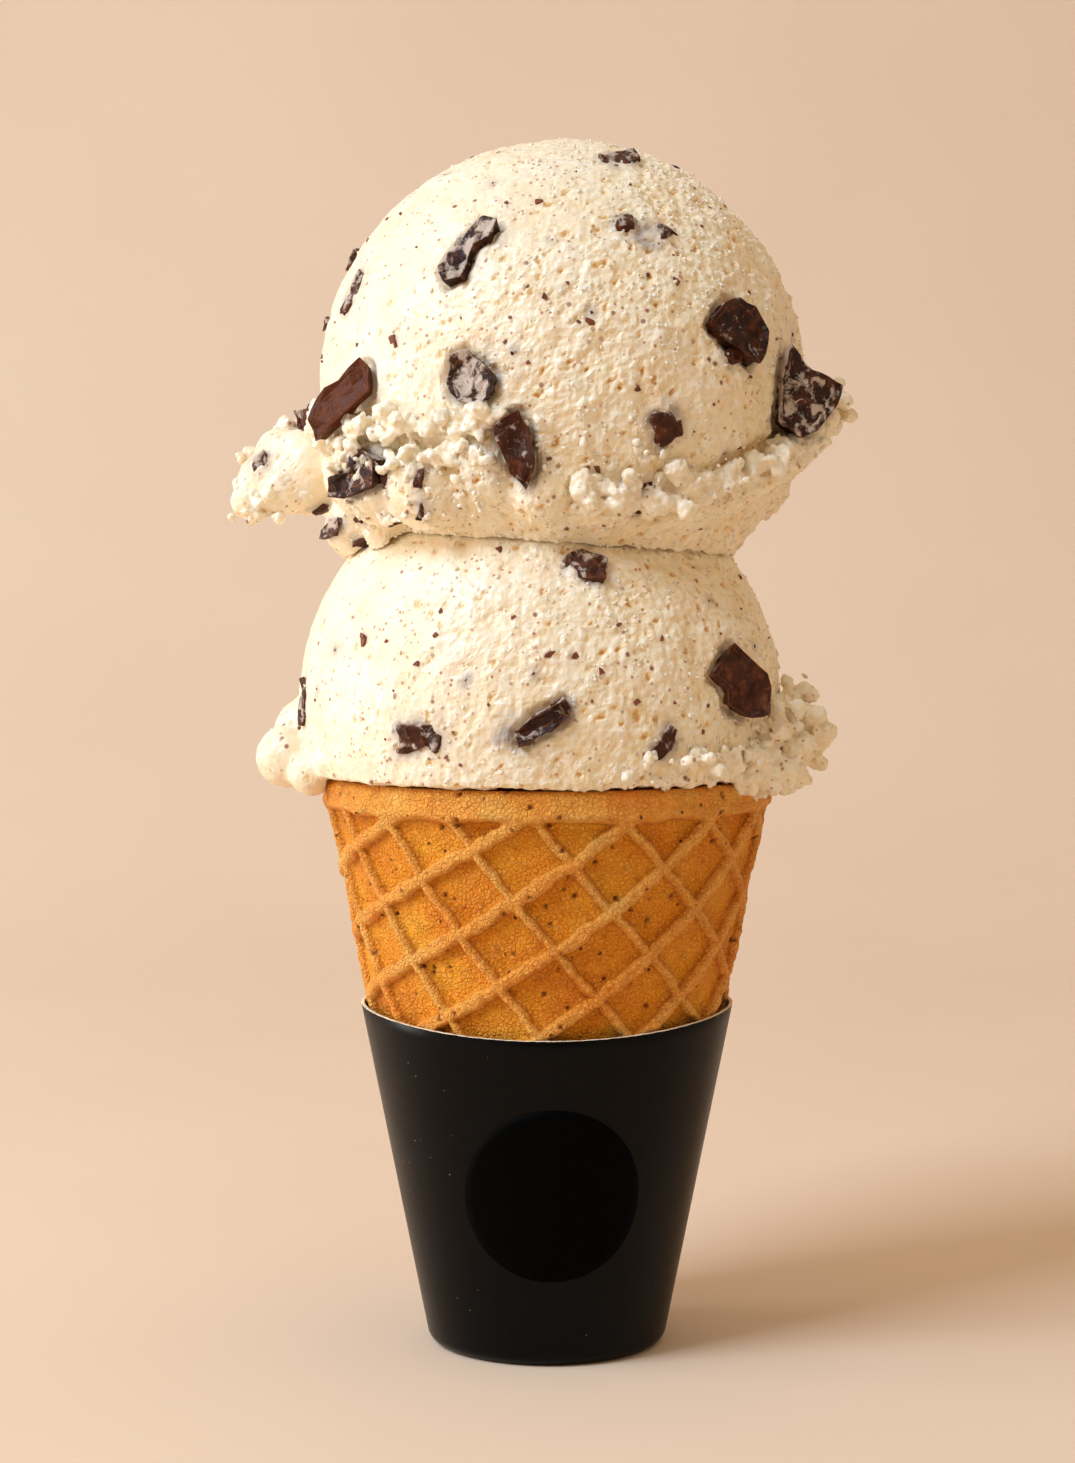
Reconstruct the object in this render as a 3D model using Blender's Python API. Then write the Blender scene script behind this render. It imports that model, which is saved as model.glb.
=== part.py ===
"""Two scoops of chocolate chunk ice cream in a rolled waffle cone, standing in a black card sleeve.

The part is in metres with +Z up. Its origin is the centre of the sleeve's flat underside, -Y is its front
and +X its right. A bearing is an angle round the Z axis in degrees: 0 is the front and 90 the right.
"""

import math
import random

import bmesh
import bpy
from mathutils import Matrix, Vector

MM = 0.001

# Driving dimensions
GAP = 0.3 * MM  # air between pieces that touch
TAPER = 0.2  # radius gained per unit of height, the same on the sleeve and the cone

SLEEVE_HEIGHT = 48.2 * MM
SLEEVE_FOOT_RADIUS = 16.5 * MM
SLEEVE_CORNER = 2.2 * MM
CARD = 0.5 * MM
MOUTH_DIP = 1.8 * MM  # the card's cut edge hangs this much lower at the front and the back
SLEEVE_SIDES = 48
FILLING_SIDES = 36

CONE_RIM_Z = 80.0 * MM
WAFER = 3.0 * MM
CONE_SIDES = 60
FOOT_CHAMFER = 2.4 * MM
RIM_BAND = 3.4 * MM  # plain wafer between the rim and the ridge
RIDGE_WIDTH = 1.4 * MM
RIDGE_PROUD = 0.45 * MM
RIM_ROUND = 0.7 * MM
LAP_STEP = 0.9 * MM  # how far the rolled wafer's inner layer lies under its lapped edge
LAP_BEARING = 168.0
LAP_FADE = 70.0  # degrees over which the inner layer climbs back to the outer surface
LAP_EDGE = 0.8  # degrees taken by the lapped edge itself

# The iron's grid on the unrolled wafer, with the cone's point at (0, 0) and its front along +Y
GRID_STEP = (8.9 * MM, 9.35 * MM)
GRID_ANGLE = (-50.2, -146.4)
GRID_CROSSING = (-2.5 * MM, 158.3 * MM)
GRID_CELLS = 60
RIB_CREST = 1.5 * MM
RIB_FOOT = 2.5 * MM
POCKET_DEPTH = 1.1 * MM
POCKET_OVERRUN = 0.8 * MM
LATTICE_FOOT_Z = 45.5 * MM

LOWER_CENTRE = Vector((-1.0, 0.0, 90.0)) * MM
LOWER_RADIUS = 33.6 * MM
UPPER_CENTRE = Vector((2.0, 0.0, 134.4)) * MM
UPPER_RADIUS = 33.5 * MM
SEAM_GAP = 0.6 * MM  # between the scoops, whose faceted skins stray a little from the sphere

SKIN_VOXEL = 1.5 * MM
SCOOP_KEEP = 0.11  # share of the skin's triangles that stay after decimation

CREAM = (0.93, 0.86, 0.70, 1.0)
CHOCOLATE = (0.07, 0.028, 0.016, 1.0)
WAFFLE = (0.66, 0.33, 0.09, 1.0)
BLACK_CARD = (0.012, 0.011, 0.010, 1.0)

# Lumps that lean out of each scoop: bearing, distance from the Z axis, height and radius, in degrees and mm
UPPER_LUMPS = (
    (-88, 27, 124, 8.5),  # the flap on the left, running out to its drooping tip
    (-88, 36, 124.0, 4.8),
    (-86, 33, 122.5, 6.6),
    (-85, 38, 120, 5.0),
    (-84, 42, 116.8, 3.0),
    (-62, 26, 122.5, 8.0),  # the ledge across the front left
    (-44, 28.5, 121, 6.6),
    (-17, 26.5, 123, 6.4),
    (-98, 27, 114.5, 4.8),  # the lump tucked under the flap
    (-76, 27, 115, 4.4),
    (68, 29, 119, 6.0),  # the lip on the right, which rises outwards
    (76, 32.5, 123.5, 6.0),
    (80, 35.0, 128.0, 5.2),
    (84, 37.8, 130.8, 3.4),
    (104, 30, 121, 5.6),
    (132, 28, 121.5, 7.2),  # the ledge round the back
    (160, 28.5, 119.5, 6.6),
    (-158, 29, 120.5, 7.4),
    (-130, 28, 121, 6.2),
)
LOWER_LUMPS = (
    (-88, 33, 86, 5.2),  # the soft lump on the left
    (-83, 36.5, 82.6, 4.6),
    (-76, 33.5, 80.6, 3.4),
    (-95, 33.5, 82, 4.2),
    (64, 31, 82.5, 4.6),  # the crumbling mass on the right
    (76, 32.5, 85, 5.4),
    (84, 35.8, 87.5, 4.2),
    (90, 33.5, 82, 4.6),
    (70, 33.0, 79.0, 2.9),
    (140, 31.5, 83, 4.4),  # the back
    (-140, 31.0, 83.5, 4.8),
    (-172, 31.5, 82.5, 4.0),
)

# Outlines of the broken chocolate, in mm, as seen from outside with up towards +Z
BENT = ((1.6, 4.8), (3.8, 4.4), (2.9, 1.8), (0.9, 0.6), (0.4, -4.4), (-2.0, -4.9), (-3.6, -2.6), (-1.6, 1.6))
HEWN = ((-5.0, 0.8), (-2.6, 3.7), (0.2, 4.4), (2.9, 3.2), (4.6, 0.0), (4.0, -3.0), (2.4, -4.5), (-2.8, -1.7))
STAR = ((-2.8, 7.0), (0.2, 3.4), (5.4, 1.6), (4.4, -1.2), (0.7, -4.9), (-1.8, -5.8), (-4.4, -3.6), (-4.0, 2.6))
PLATE = ((-4.0, -0.6), (2.4, 4.8), (3.8, 3.8), (4.3, 0.4), (-1.2, -4.6), (-3.2, -6.6), (-4.6, -3.4))
CORNER = ((-3.0, 1.4), (1.6, 2.4), (2.4, -0.8), (-0.6, -3.0))
LUMP = ((-2.6, 3.0), (-0.4, 3.7), (3.4, 0.8), (3.6, -1.6), (1.6, -3.3), (-1.4, -3.1), (-3.5, -0.4))
HOOK = ((0.4, 3.4), (4.0, 1.8), (3.5, -1.8), (-1.6, -3.5), (-4.8, -3.2), (-4.3, -0.6), (-1.2, 0.0))
BLADE = ((0.7, 5.2), (1.8, 3.4), (2.8, -1.9), (1.6, -5.3), (-0.4, -3.0), (-3.1, 3.1), (-1.3, 4.0))
KITE = ((-0.6, 5.1), (3.8, 0.6), (4.5, -1.2), (4.0, -4.8), (1.2, -5.2), (-2.2, -3.4), (-2.4, -1.4), (-4.6, 0.6))
SLIVER = ((2.6, 2.8), (3.4, 0.6), (0.8, -1.4), (-3.4, -3.4), (-4.0, -1.4), (-1.0, 1.0))

# Each piece: its scoop; the bearing and climb where it sits; how far its middle stands out of the scoop's
# sphere, in mm; the bearing, climb and turn of its face; its outline; and its thickness in mm
SHARDS = {
    "chunk_upper_long": ("upper", -25, 28.5, -1.0, (-25, 28, 0), BENT, 4.0),
    "chunk_upper_right": ("upper", 44, 10.0, -1.2, (36, 8, 0), HEWN, 5.4),
    "chunk_upper_lip": ("upper", 65, -4.0, 2.4, (22, 6, 0), STAR, 4.6),
    "chunk_upper_shard": ("upper", -54, -4.0, 2.4, (-24, 12, 0), PLATE, 2.6),
    "chunk_upper_side": ("upper", -84, -8.5, 1.4, (-48, 4, 0), CORNER, 3.2),
    "chunk_upper_frosted": ("upper", -21, -1.5, -1.3, (-21, 0, 0), LUMP, 4.2),
    "chunk_upper_cluster": ("upper", -50, -20.0, 3.6, (-38, 0, 0), HOOK, 4.2),
    "chunk_upper_diamond": ("upper", -11, -17.0, 0.6, (-6, -4, 0), BLADE, 3.8),
    "chunk_lower_star": ("lower", 51, 7.0, 0.4, (26, 8, 0), KITE, 3.2),
    "chunk_lower_front": ("lower", 1, -1.0, -0.6, (1, 0, 0), SLIVER, 4.0),
    "chunk_back_high": ("upper", 165, 32.0, -1.0, (165, 32, 20), HEWN, 4.6),
    "chunk_back_left": ("upper", -138, 6.0, -0.6, (-138, 6, 75), KITE, 4.4),
    "chunk_back_right": ("upper", 118, 14.0, -0.9, (118, 14, 130), LUMP, 4.4),
    "chunk_back_ledge": ("upper", 172, -12.0, 1.0, (160, 0, 40), PLATE, 3.4),
    "chunk_back_low": ("lower", -160, 12.0, -0.8, (-160, 12, 64), BENT, 4.4),
    "chunk_back_low_right": ("lower", 128, 6.0, -0.4, (128, 6, 24), BLADE, 4.2),
}
SHARD_NARROWING = 0.86  # the buried face against the outline
SHARD_INSET = 1.0 * MM
SHARD_CROWN = 0.45 * MM


def clear_scene():
    """Takes away whatever the scene holds."""
    for obj in list(bpy.data.objects):
        bpy.data.objects.remove(obj, do_unlink=True)


def finish(name, color, roughness):
    """A plain coat of the piece's own colour."""
    material = bpy.data.materials.new(name)
    material.use_nodes = True
    shader = material.node_tree.nodes["Principled BSDF"]
    shader.inputs["Base Color"].default_value = color
    shader.inputs["Roughness"].default_value = roughness
    return material


def make_object(name, bm, material=None, sharp_degrees=35.0):
    """Links a new object that holds the bmesh, and frees the bmesh."""
    mesh = bpy.data.meshes.new(name)
    bmesh.ops.recalc_face_normals(bm, faces=bm.faces)
    bm.to_mesh(mesh)
    bm.free()
    mesh.shade_smooth()
    mesh.set_sharp_from_angle(angle=math.radians(sharp_degrees))
    obj = bpy.data.objects.new(name, mesh)
    bpy.context.scene.collection.objects.link(obj)
    if material:
        mesh.materials.append(material)
    return obj


def as_cutter(obj):
    """Marks a helper that only cuts or joins."""
    obj.hide_render = True
    obj.display_type = "WIRE"
    return obj


def boolean(obj, other, operation):
    """Cuts obj by other, or joins the two."""
    step = obj.modifiers.new(f"{operation.lower()} {other.name}", "BOOLEAN")
    step.operation = operation
    step.object = other
    step.use_self = True
    return step


def round_the_axis(bearing, distance, z):
    """The point at a bearing in degrees and a distance from the Z axis."""
    angle = math.radians(bearing)
    return Vector((distance * math.sin(angle), -distance * math.cos(angle), z))


def bearing_of(point):
    """The bearing of a point in degrees, from -180 to 180."""
    return math.degrees(math.atan2(point.x, -point.y))


def smooth_step(share):
    """Goes from 0 to 1 with a level start and end."""
    share = min(1.0, max(0.0, share))
    return share * share * (3.0 - 2.0 * share)


def arc(centre_r, centre_z, radius, start, stop, steps):
    """Points of a profile along an arc, from start to stop in degrees."""
    angles = (math.radians(start + (stop - start) * k / steps) for k in range(steps + 1))
    return [(centre_r + radius * math.cos(a), centre_z + radius * math.sin(a)) for a in angles]


def turn_profile(profile, sides, start=0.0, seam=0.0):
    """Spins a profile of (radius, z) once round the Z axis. The last seam degrees are a column of their own."""
    bm = bmesh.new()
    points = [bm.verts.new(round_the_axis(start, r, z)) for r, z in profile]
    edges = [bm.edges.new(pair) for pair in zip(points, points[1:])]
    turn = {"axis": (0, 0, 1), "cent": (0, 0, 0), "use_merge": False}
    swept = bmesh.ops.spin(
        bm, geom=points + edges, angle=math.radians(360.0 - seam), steps=sides, **turn
    )
    if seam:
        bmesh.ops.spin(bm, geom=swept["geom_last"], angle=math.radians(seam), steps=1, **turn)
    bmesh.ops.remove_doubles(bm, verts=bm.verts, dist=1e-6)
    return bm


# The card sleeve

TILT = math.atan(TAPER)
CARD_ACROSS = CARD / math.cos(TILT)


def sleeve_radius(z):
    """The sleeve's outer radius, without its rounded corner."""
    return SLEEVE_FOOT_RADIUS + TAPER * z


def make_sleeve(material):
    """One card cup: a flat round floor, a small rounded corner and a wall that widens to its cut edge."""
    lean = math.degrees(TILT)
    corner_z = SLEEVE_CORNER
    tangent_z = corner_z - SLEEVE_CORNER * math.sin(TILT)
    corner_r = sleeve_radius(tangent_z) - SLEEVE_CORNER * math.cos(TILT)
    belt_z = SLEEVE_HEIGHT * 0.7
    outer = [(0.0, 0.0)]
    outer += arc(corner_r, corner_z, SLEEVE_CORNER, -90.0, -lean, 3)
    outer += [(sleeve_radius(z), z) for z in (belt_z, SLEEVE_HEIGHT)]
    inner = [(sleeve_radius(z) - CARD_ACROSS, z) for z in (SLEEVE_HEIGHT, belt_z)]
    inner += arc(corner_r, corner_z, SLEEVE_CORNER - CARD, -lean, -90.0, 3)
    inner += [(0.0, CARD)]
    bm = turn_profile(outer + inner, SLEEVE_SIDES)
    for vertex in bm.verts:
        height = (vertex.co.z - belt_z) / (SLEEVE_HEIGHT - belt_z)
        if height <= 0.0:
            continue
        facing = math.cos(math.radians(bearing_of(vertex.co))) ** 2
        drop = MOUTH_DIP * facing * height
        radius = math.hypot(vertex.co.x, vertex.co.y)
        scale = (radius - TAPER * drop) / radius
        vertex.co = Vector((vertex.co.x * scale, vertex.co.y * scale, vertex.co.z - drop))
    return make_object("sleeve", bm, material)


# The rolled waffle cone

CONE_FOOT_Z = CARD + GAP
RIDGE_TOP_Z = CONE_RIM_Z - RIM_BAND
RIDGE_FOOT_Z = RIDGE_TOP_Z - RIDGE_WIDTH


def cone_radius(z):
    """The wafer's outer radius, at the crests of its ribs."""
    return sleeve_radius(z) - CARD_ACROSS - GAP / math.cos(TILT)


CONE_POINT_Z = -cone_radius(0.0) / TAPER


def lap_depth(bearing):
    """How deep the wafer's inner layer lies at a bearing: the whole step just past the lapped edge, then less."""
    past = (bearing - LAP_BEARING) % 360.0
    return LAP_STEP * (1.0 - smooth_step(past / LAP_FADE))


def on_cone(flat, depth):
    """The place on the rolled wafer of a point of the flat one, at a depth under the crests."""
    slant = math.hypot(flat.x, flat.y)
    bearing = math.degrees(math.atan2(flat.x, flat.y)) / math.sin(TILT)
    z = CONE_POINT_Z + slant * math.cos(TILT)
    inwards = (depth + lap_depth(bearing)) / math.cos(TILT)
    return round_the_axis(bearing, cone_radius(z) - inwards, z)


def trim(bm, point, normal):
    """Takes off what lies past a plane."""
    parts = bm.verts[:] + bm.edges[:] + bm.faces[:]
    bmesh.ops.bisect_plane(bm, geom=parts, plane_co=point, plane_no=normal, clear_outer=True)


def close_holes(bm):
    """Gives every open loop of edges a face."""
    bmesh.ops.holes_fill(bm, edges=[edge for edge in bm.edges if edge.is_boundary], sides=0)


def has_room(cell):
    """Whether a cell of the grid is wide enough for a pocket between its ribs."""
    middle = cell.calc_center_median()
    nearest = (LATTICE_FOOT_Z - CONE_POINT_Z) / math.cos(TILT) - max(GRID_STEP)
    farthest = (RIDGE_FOOT_Z - CONE_POINT_Z) / math.cos(TILT) + max(GRID_STEP)
    width = 4 * cell.calc_area() / cell.calc_perimeter()
    return middle.y > 0.0 and nearest < middle.length < farthest and width > 1.4 * RIB_FOOT


def make_pockets():
    """The hollows that the iron's plates leave between the ribs, as one cutter of many closed bodies."""
    bm = bmesh.new()
    bmesh.ops.create_grid(bm, x_segments=GRID_CELLS, y_segments=GRID_CELLS, size=GRID_CELLS / 2)
    steps = [
        Vector((step * math.cos(math.radians(angle)), step * math.sin(math.radians(angle)), 0.0))
        for step, angle in zip(GRID_STEP, GRID_ANGLE)
    ]
    to_flat = Matrix.Identity(4)
    to_flat.col[0][:3] = steps[0]
    to_flat.col[1][:3] = steps[1]
    to_flat.translation = Vector((*GRID_CROSSING, 0.0))
    bmesh.ops.transform(bm, matrix=to_flat, verts=bm.verts)

    # The wafer's two straight edges meet at the lap, one on each side of the flat sector
    sector = math.sin(TILT)
    for side, edge_bearing in ((1.0, LAP_BEARING), (-1.0, LAP_BEARING - 360.0)):
        angle = math.radians(edge_bearing) * sector
        across = Vector((math.cos(angle), -math.sin(angle), 0.0)) * side
        trim(bm, Vector((0.0, 0.0, 0.0)), across)
    bmesh.ops.delete(bm, geom=[cell for cell in bm.faces if not has_room(cell)], context="FACES")

    crest = bmesh.ops.inset_individual(bm, faces=bm.faces[:], thickness=RIB_CREST / 2, depth=0.0)
    bmesh.ops.delete(bm, geom=crest["faces"], context="FACES")
    floors = set(bm.faces)
    bmesh.ops.inset_individual(bm, faces=bm.faces[:], thickness=(RIB_FOOT - RIB_CREST) / 2, depth=0.0)
    floor_points = {vertex for face in floors for vertex in face.verts}
    for vertex in bm.verts:
        depth = POCKET_DEPTH if vertex in floor_points else -POCKET_OVERRUN
        vertex.co = on_cone(vertex.co, depth)
    close_holes(bm)
    for z, side in ((RIDGE_FOOT_Z, 1.0), (LATTICE_FOOT_Z, -1.0)):
        trim(bm, Vector((0.0, 0.0, z)), Vector((0.0, 0.0, side)))
        close_holes(bm)
    return as_cutter(make_object("pocket_cutter", bm))


def make_cone(material):
    """The wafer: a shell with a closed foot, a plain band and a ridge under its rim, and the iron's pockets."""
    inner_foot_z = CONE_FOOT_Z + WAFER
    wall_across = WAFER / math.cos(TILT)
    ridge_z = (RIDGE_TOP_Z + RIDGE_FOOT_Z) / 2
    profile = [
        (0.0, CONE_FOOT_Z),
        (cone_radius(CONE_FOOT_Z) - FOOT_CHAMFER, CONE_FOOT_Z),
        (cone_radius(CONE_FOOT_Z + FOOT_CHAMFER), CONE_FOOT_Z + FOOT_CHAMFER),
        (cone_radius(LATTICE_FOOT_Z - MM), LATTICE_FOOT_Z - MM),
        (cone_radius(RIDGE_FOOT_Z), RIDGE_FOOT_Z),
        (cone_radius(ridge_z) + RIDGE_PROUD, ridge_z),
        (cone_radius(RIDGE_TOP_Z), RIDGE_TOP_Z),
        (cone_radius(CONE_RIM_Z - RIM_ROUND), CONE_RIM_Z - RIM_ROUND),
        (cone_radius(CONE_RIM_Z) - RIM_ROUND, CONE_RIM_Z),
        (cone_radius(CONE_RIM_Z) - wall_across, CONE_RIM_Z),
        (cone_radius(inner_foot_z) - wall_across, inner_foot_z),
        (0.0, inner_foot_z),
    ]
    bm = turn_profile(profile, CONE_SIDES, start=LAP_BEARING + LAP_EDGE / 2, seam=LAP_EDGE)
    for vertex in bm.verts:
        radius = math.hypot(vertex.co.x, vertex.co.y)
        outside = radius > cone_radius(vertex.co.z) - wall_across / 2
        if vertex.co.z > LATTICE_FOOT_Z - 2 * MM and outside:
            scale = (radius - lap_depth(bearing_of(vertex.co))) / radius
            vertex.co.x *= scale
            vertex.co.y *= scale
    cone = make_object("cone", bm, material)
    boolean(cone, make_pockets(), "DIFFERENCE")
    return cone


# The chocolate


def facing(bearing, climb):
    """The direction at a bearing and a climb above the horizon."""
    rise = math.radians(climb)
    return round_the_axis(bearing, math.cos(rise), math.sin(rise))


def shard_place(scoop, bearing, climb, proud, face):
    """Where a shard lies by a scoop's sphere, with its own Z the way that its face looks."""
    centre, radius = (UPPER_CENTRE, UPPER_RADIUS) if scoop == "upper" else (LOWER_CENTRE, LOWER_RADIUS)
    face_bearing, face_climb, turn = face
    turned = facing(face_bearing, face_climb).to_track_quat("Z", "Y").to_matrix().to_4x4()
    middle = centre + facing(bearing, climb) * (radius + proud * MM)
    return Matrix.Translation(middle) @ turned @ Matrix.Rotation(math.radians(turn), 4, "Z")


def broken_plate(outline, thickness, seed):
    """A piece broken from a bar: its outline drawn out to its thickness, with a crowned and slightly skewed face."""
    rng = random.Random(seed)
    bm = bmesh.new()
    ring = [bm.verts.new((x * MM, y * MM, -thickness / 2)) for x, y in outline]
    back = bm.faces.new(ring)
    swept = bmesh.ops.extrude_face_region(bm, geom=[back])
    front = [item for item in swept["geom"] if isinstance(item, bmesh.types.BMVert)]
    bmesh.ops.translate(bm, verts=front, vec=(0.0, 0.0, thickness))
    bmesh.ops.scale(bm, verts=ring, vec=(SHARD_NARROWING, SHARD_NARROWING, 1.0))
    for corner in front:
        corner.co.z += rng.uniform(-0.14, 0.04) * thickness
    face = next(item for item in swept["geom"] if isinstance(item, bmesh.types.BMFace))
    bmesh.ops.inset_region(bm, faces=[face], thickness=SHARD_INSET, depth=SHARD_CROWN)
    bmesh.ops.triangulate(bm, faces=bm.faces)
    bmesh.ops.recalc_face_normals(bm, faces=bm.faces)
    return bm


def swollen(bm, around):
    """The same shape with every corner moved out."""
    bm.normal_update()
    for corner in bm.verts:
        corner.co += corner.normal * around
    return bm


def make_shards(material):
    """Makes each piece of chocolate, and for each scoop the larger ones that cut room for its pieces."""
    rooms = {"upper": [], "lower": []}
    for seed, (name, traits) in enumerate(SHARDS.items()):
        scoop, bearing, climb, proud, face, outline, thickness = traits
        shard = make_object(name, broken_plate(outline, thickness * MM, seed), material, 20.0)
        room_shape = swollen(broken_plate(outline, thickness * MM, seed), 1.8 * GAP)
        room = as_cutter(make_object(f"room_for_{name}", room_shape))
        shard.matrix_world = shard_place(scoop, bearing, climb, proud, face)
        room.parent = shard
        rooms[scoop].append(room)
    return rooms


# The two scoops


def add_lump(bm, centre, radius):
    """Adds a ball of ice cream."""
    place = Matrix.Translation(centre)
    bmesh.ops.create_icosphere(bm, subdivisions=3, radius=radius, matrix=place)


def make_scoop(name, centre, radius, lumps, bead, material):
    """A ball, its lumps and the bead round its foot under one skin, still to be cut to its neighbours."""
    bm = bmesh.new()
    bmesh.ops.create_icosphere(bm, subdivisions=5, radius=radius, matrix=Matrix.Translation(centre))
    for bearing, distance, z, lump_radius in lumps:
        add_lump(bm, round_the_axis(bearing, distance * MM, z * MM), lump_radius * MM)
    count, distance, z, bead_radius = bead
    for k in range(count):
        add_lump(bm, round_the_axis(360.0 * k / count, distance, z), bead_radius)
    scoop = make_object(name, bm, material, 60.0)
    skin = scoop.modifiers.new("one skin", "REMESH")
    skin.mode = "VOXEL"
    skin.voxel_size = SKIN_VOXEL
    soften = scoop.modifiers.new("soften", "SMOOTH")
    soften.factor = 0.5
    soften.iterations = 3
    thin = scoop.modifiers.new("fewer triangles", "DECIMATE")
    thin.ratio = SCOOP_KEEP
    return scoop


def make_lower_scoop(material, rooms):
    """The lower scoop sits on the cone's rim, and its foot fills the cone."""
    bead = (30, 29.6 * MM, 81.8 * MM, 3.6 * MM)
    scoop = make_scoop("lower_scoop", LOWER_CENTRE, LOWER_RADIUS, LOWER_LUMPS, bead, material)
    solid_cone = [
        (0.0, 0.0),
        (cone_radius(0.0) + GAP, 0.0),
        (cone_radius(RIDGE_FOOT_Z) + RIDGE_PROUD + GAP, RIDGE_FOOT_Z),
        (cone_radius(CONE_RIM_Z) + RIDGE_PROUD + GAP, CONE_RIM_Z + GAP),
        (0.0, CONE_RIM_Z + GAP),
    ]
    cutter = as_cutter(make_object("rim_cutter", turn_profile(solid_cone, CONE_SIDES)))
    boolean(scoop, cutter, "DIFFERENCE")
    inside = (WAFER + 2 * GAP) / math.cos(TILT)
    floor_z = CONE_FOOT_Z + WAFER + GAP
    fill_top_z = CONE_RIM_Z + 4 * MM
    filling = [
        (0.0, floor_z),
        (cone_radius(floor_z) - inside, floor_z),
        (cone_radius(CONE_RIM_Z) - inside, CONE_RIM_Z),
        (cone_radius(CONE_RIM_Z) - inside, fill_top_z),
        (0.0, fill_top_z),
    ]
    plug = as_cutter(make_object("cone_filling", turn_profile(filling, FILLING_SIDES)))
    boolean(scoop, plug, "UNION")
    for room in rooms:
        boolean(scoop, room, "DIFFERENCE")
    return scoop


def make_upper_scoop(material, rooms):
    """The upper scoop is pressed down over the lower one, whose sphere hollows its underside."""
    bead = (22, 25.0 * MM, 116.5 * MM, 5.0 * MM)
    scoop = make_scoop("upper_scoop", UPPER_CENTRE, UPPER_RADIUS, UPPER_LUMPS, bead, material)
    bm = bmesh.new()
    place = Matrix.Translation(LOWER_CENTRE)
    bmesh.ops.create_icosphere(bm, subdivisions=4, radius=LOWER_RADIUS + SEAM_GAP, matrix=place)
    boolean(scoop, as_cutter(make_object("seam_cutter", bm)), "DIFFERENCE")
    for room in rooms:
        boolean(scoop, room, "DIFFERENCE")
    return scoop


def main():
    clear_scene()
    cream = finish("cream", CREAM, 0.5)
    chocolate = finish("chocolate", CHOCOLATE, 0.35)
    make_sleeve(finish("sleeve", BLACK_CARD, 0.38))
    make_cone(finish("waffle", WAFFLE, 0.6))
    rooms = make_shards(chocolate)
    make_lower_scoop(cream, rooms["lower"])
    make_upper_scoop(cream, rooms["upper"])


main()
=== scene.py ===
# %% [markdown]
# # Two scoops of chocolate chunk ice cream in a waffle cone
# This lesson dresses a finished CAD model for a close-up. The CAD model says where everything is and how
# big. Here the ice cream gets its crumbly skin, the wafer its baked relief, the chocolate its broken
# edges and frost, and the card sleeve its cut edge.
#
# The first cell loads the model. Its pieces stay where they are: new pieces are built round them.

# %% Load the CAD model
import itertools
import math
import random

import bmesh
import bpy
import numpy as np
from mathutils import Matrix, Vector, noise
from mathutils.bvhtree import BVHTree


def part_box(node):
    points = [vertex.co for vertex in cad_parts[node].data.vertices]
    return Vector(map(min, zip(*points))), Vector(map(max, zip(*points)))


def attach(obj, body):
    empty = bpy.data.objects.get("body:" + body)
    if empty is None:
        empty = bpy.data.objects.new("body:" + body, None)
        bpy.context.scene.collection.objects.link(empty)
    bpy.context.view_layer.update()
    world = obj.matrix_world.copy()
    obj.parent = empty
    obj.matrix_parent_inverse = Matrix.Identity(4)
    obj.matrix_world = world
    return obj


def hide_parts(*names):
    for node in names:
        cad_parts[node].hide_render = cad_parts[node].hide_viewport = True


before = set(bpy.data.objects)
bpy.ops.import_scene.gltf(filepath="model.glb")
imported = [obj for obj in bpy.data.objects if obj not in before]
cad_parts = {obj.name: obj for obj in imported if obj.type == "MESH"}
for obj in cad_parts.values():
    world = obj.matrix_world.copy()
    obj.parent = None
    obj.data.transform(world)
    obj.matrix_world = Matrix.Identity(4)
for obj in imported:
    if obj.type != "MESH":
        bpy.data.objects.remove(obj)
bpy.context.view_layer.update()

# %% [markdown]
# ## Measures
# Blender works in metres, but a cone is easier to think about in millimetres, so sizes are written as
# `12 * MM`. Round things are easier to place by a bearing round the upright axis than by x and y: here 0
# degrees is the front, 90 the right.

# %% Measures and places
MM = 0.001
TAPER = 0.2
TILT = math.atan(TAPER)
SLEEVE_FOOT_RADIUS = 16.5 * MM
SLEEVE_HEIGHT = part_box("sleeve")[1][2]
CARD = 0.5 * MM
CONE_RIM_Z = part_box("cone")[1][2]
CONE_FOOT_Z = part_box("cone")[0][2]
GAP = 0.3 * MM
UPPER_CENTRE = Vector((2.0, 0.0, 134.4)) * MM
UPPER_RADIUS = 33.5 * MM
LOWER_CENTRE = Vector((-1.0, 0.0, 90.0)) * MM
LOWER_RADIUS = 33.6 * MM


def round_the_axis(bearing, distance, z):
    """The point at a bearing in degrees and a distance from the Z axis."""
    angle = math.radians(bearing)
    return Vector((distance * math.sin(angle), -distance * math.cos(angle), z))


def sleeve_radius(z):
    """The sleeve's outer radius at a height."""
    return SLEEVE_FOOT_RADIUS + TAPER * z


def wafer_radius(z):
    """The wafer's outer radius at a height, on the crests of its ribs."""
    return sleeve_radius(z) - (CARD + GAP) / math.cos(TILT)


def smooth_step(share):
    """Goes from 0 to 1 with a level start and end."""
    share = np.clip(share, 0.0, 1.0)
    return share * share * (3.0 - 2.0 * share)


print(f"wafer mouth {wafer_radius(CONE_RIM_Z) * 2000:.1f} mm across, rim at {CONE_RIM_Z * 1000:.1f} mm")

# %% [markdown]
# ## Making a piece
# Every piece ends the same way: its bmesh becomes a mesh object at the origin, it rides on the model's one
# body, and the CAD node that it stands for is hidden. `freeze` runs a piece's modifiers once and keeps the
# result, for steps that need the real vertices afterwards.

# %% Helpers that make and freeze pieces
def make_piece(name, bm, material, replaced=()):
    """Turns a bmesh into a shaded piece that rides on the body and stands for CAD nodes."""
    mesh = bpy.data.meshes.new(name)
    bm.to_mesh(mesh)
    bm.free()
    return add_piece(name, mesh, material, replaced)


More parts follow.
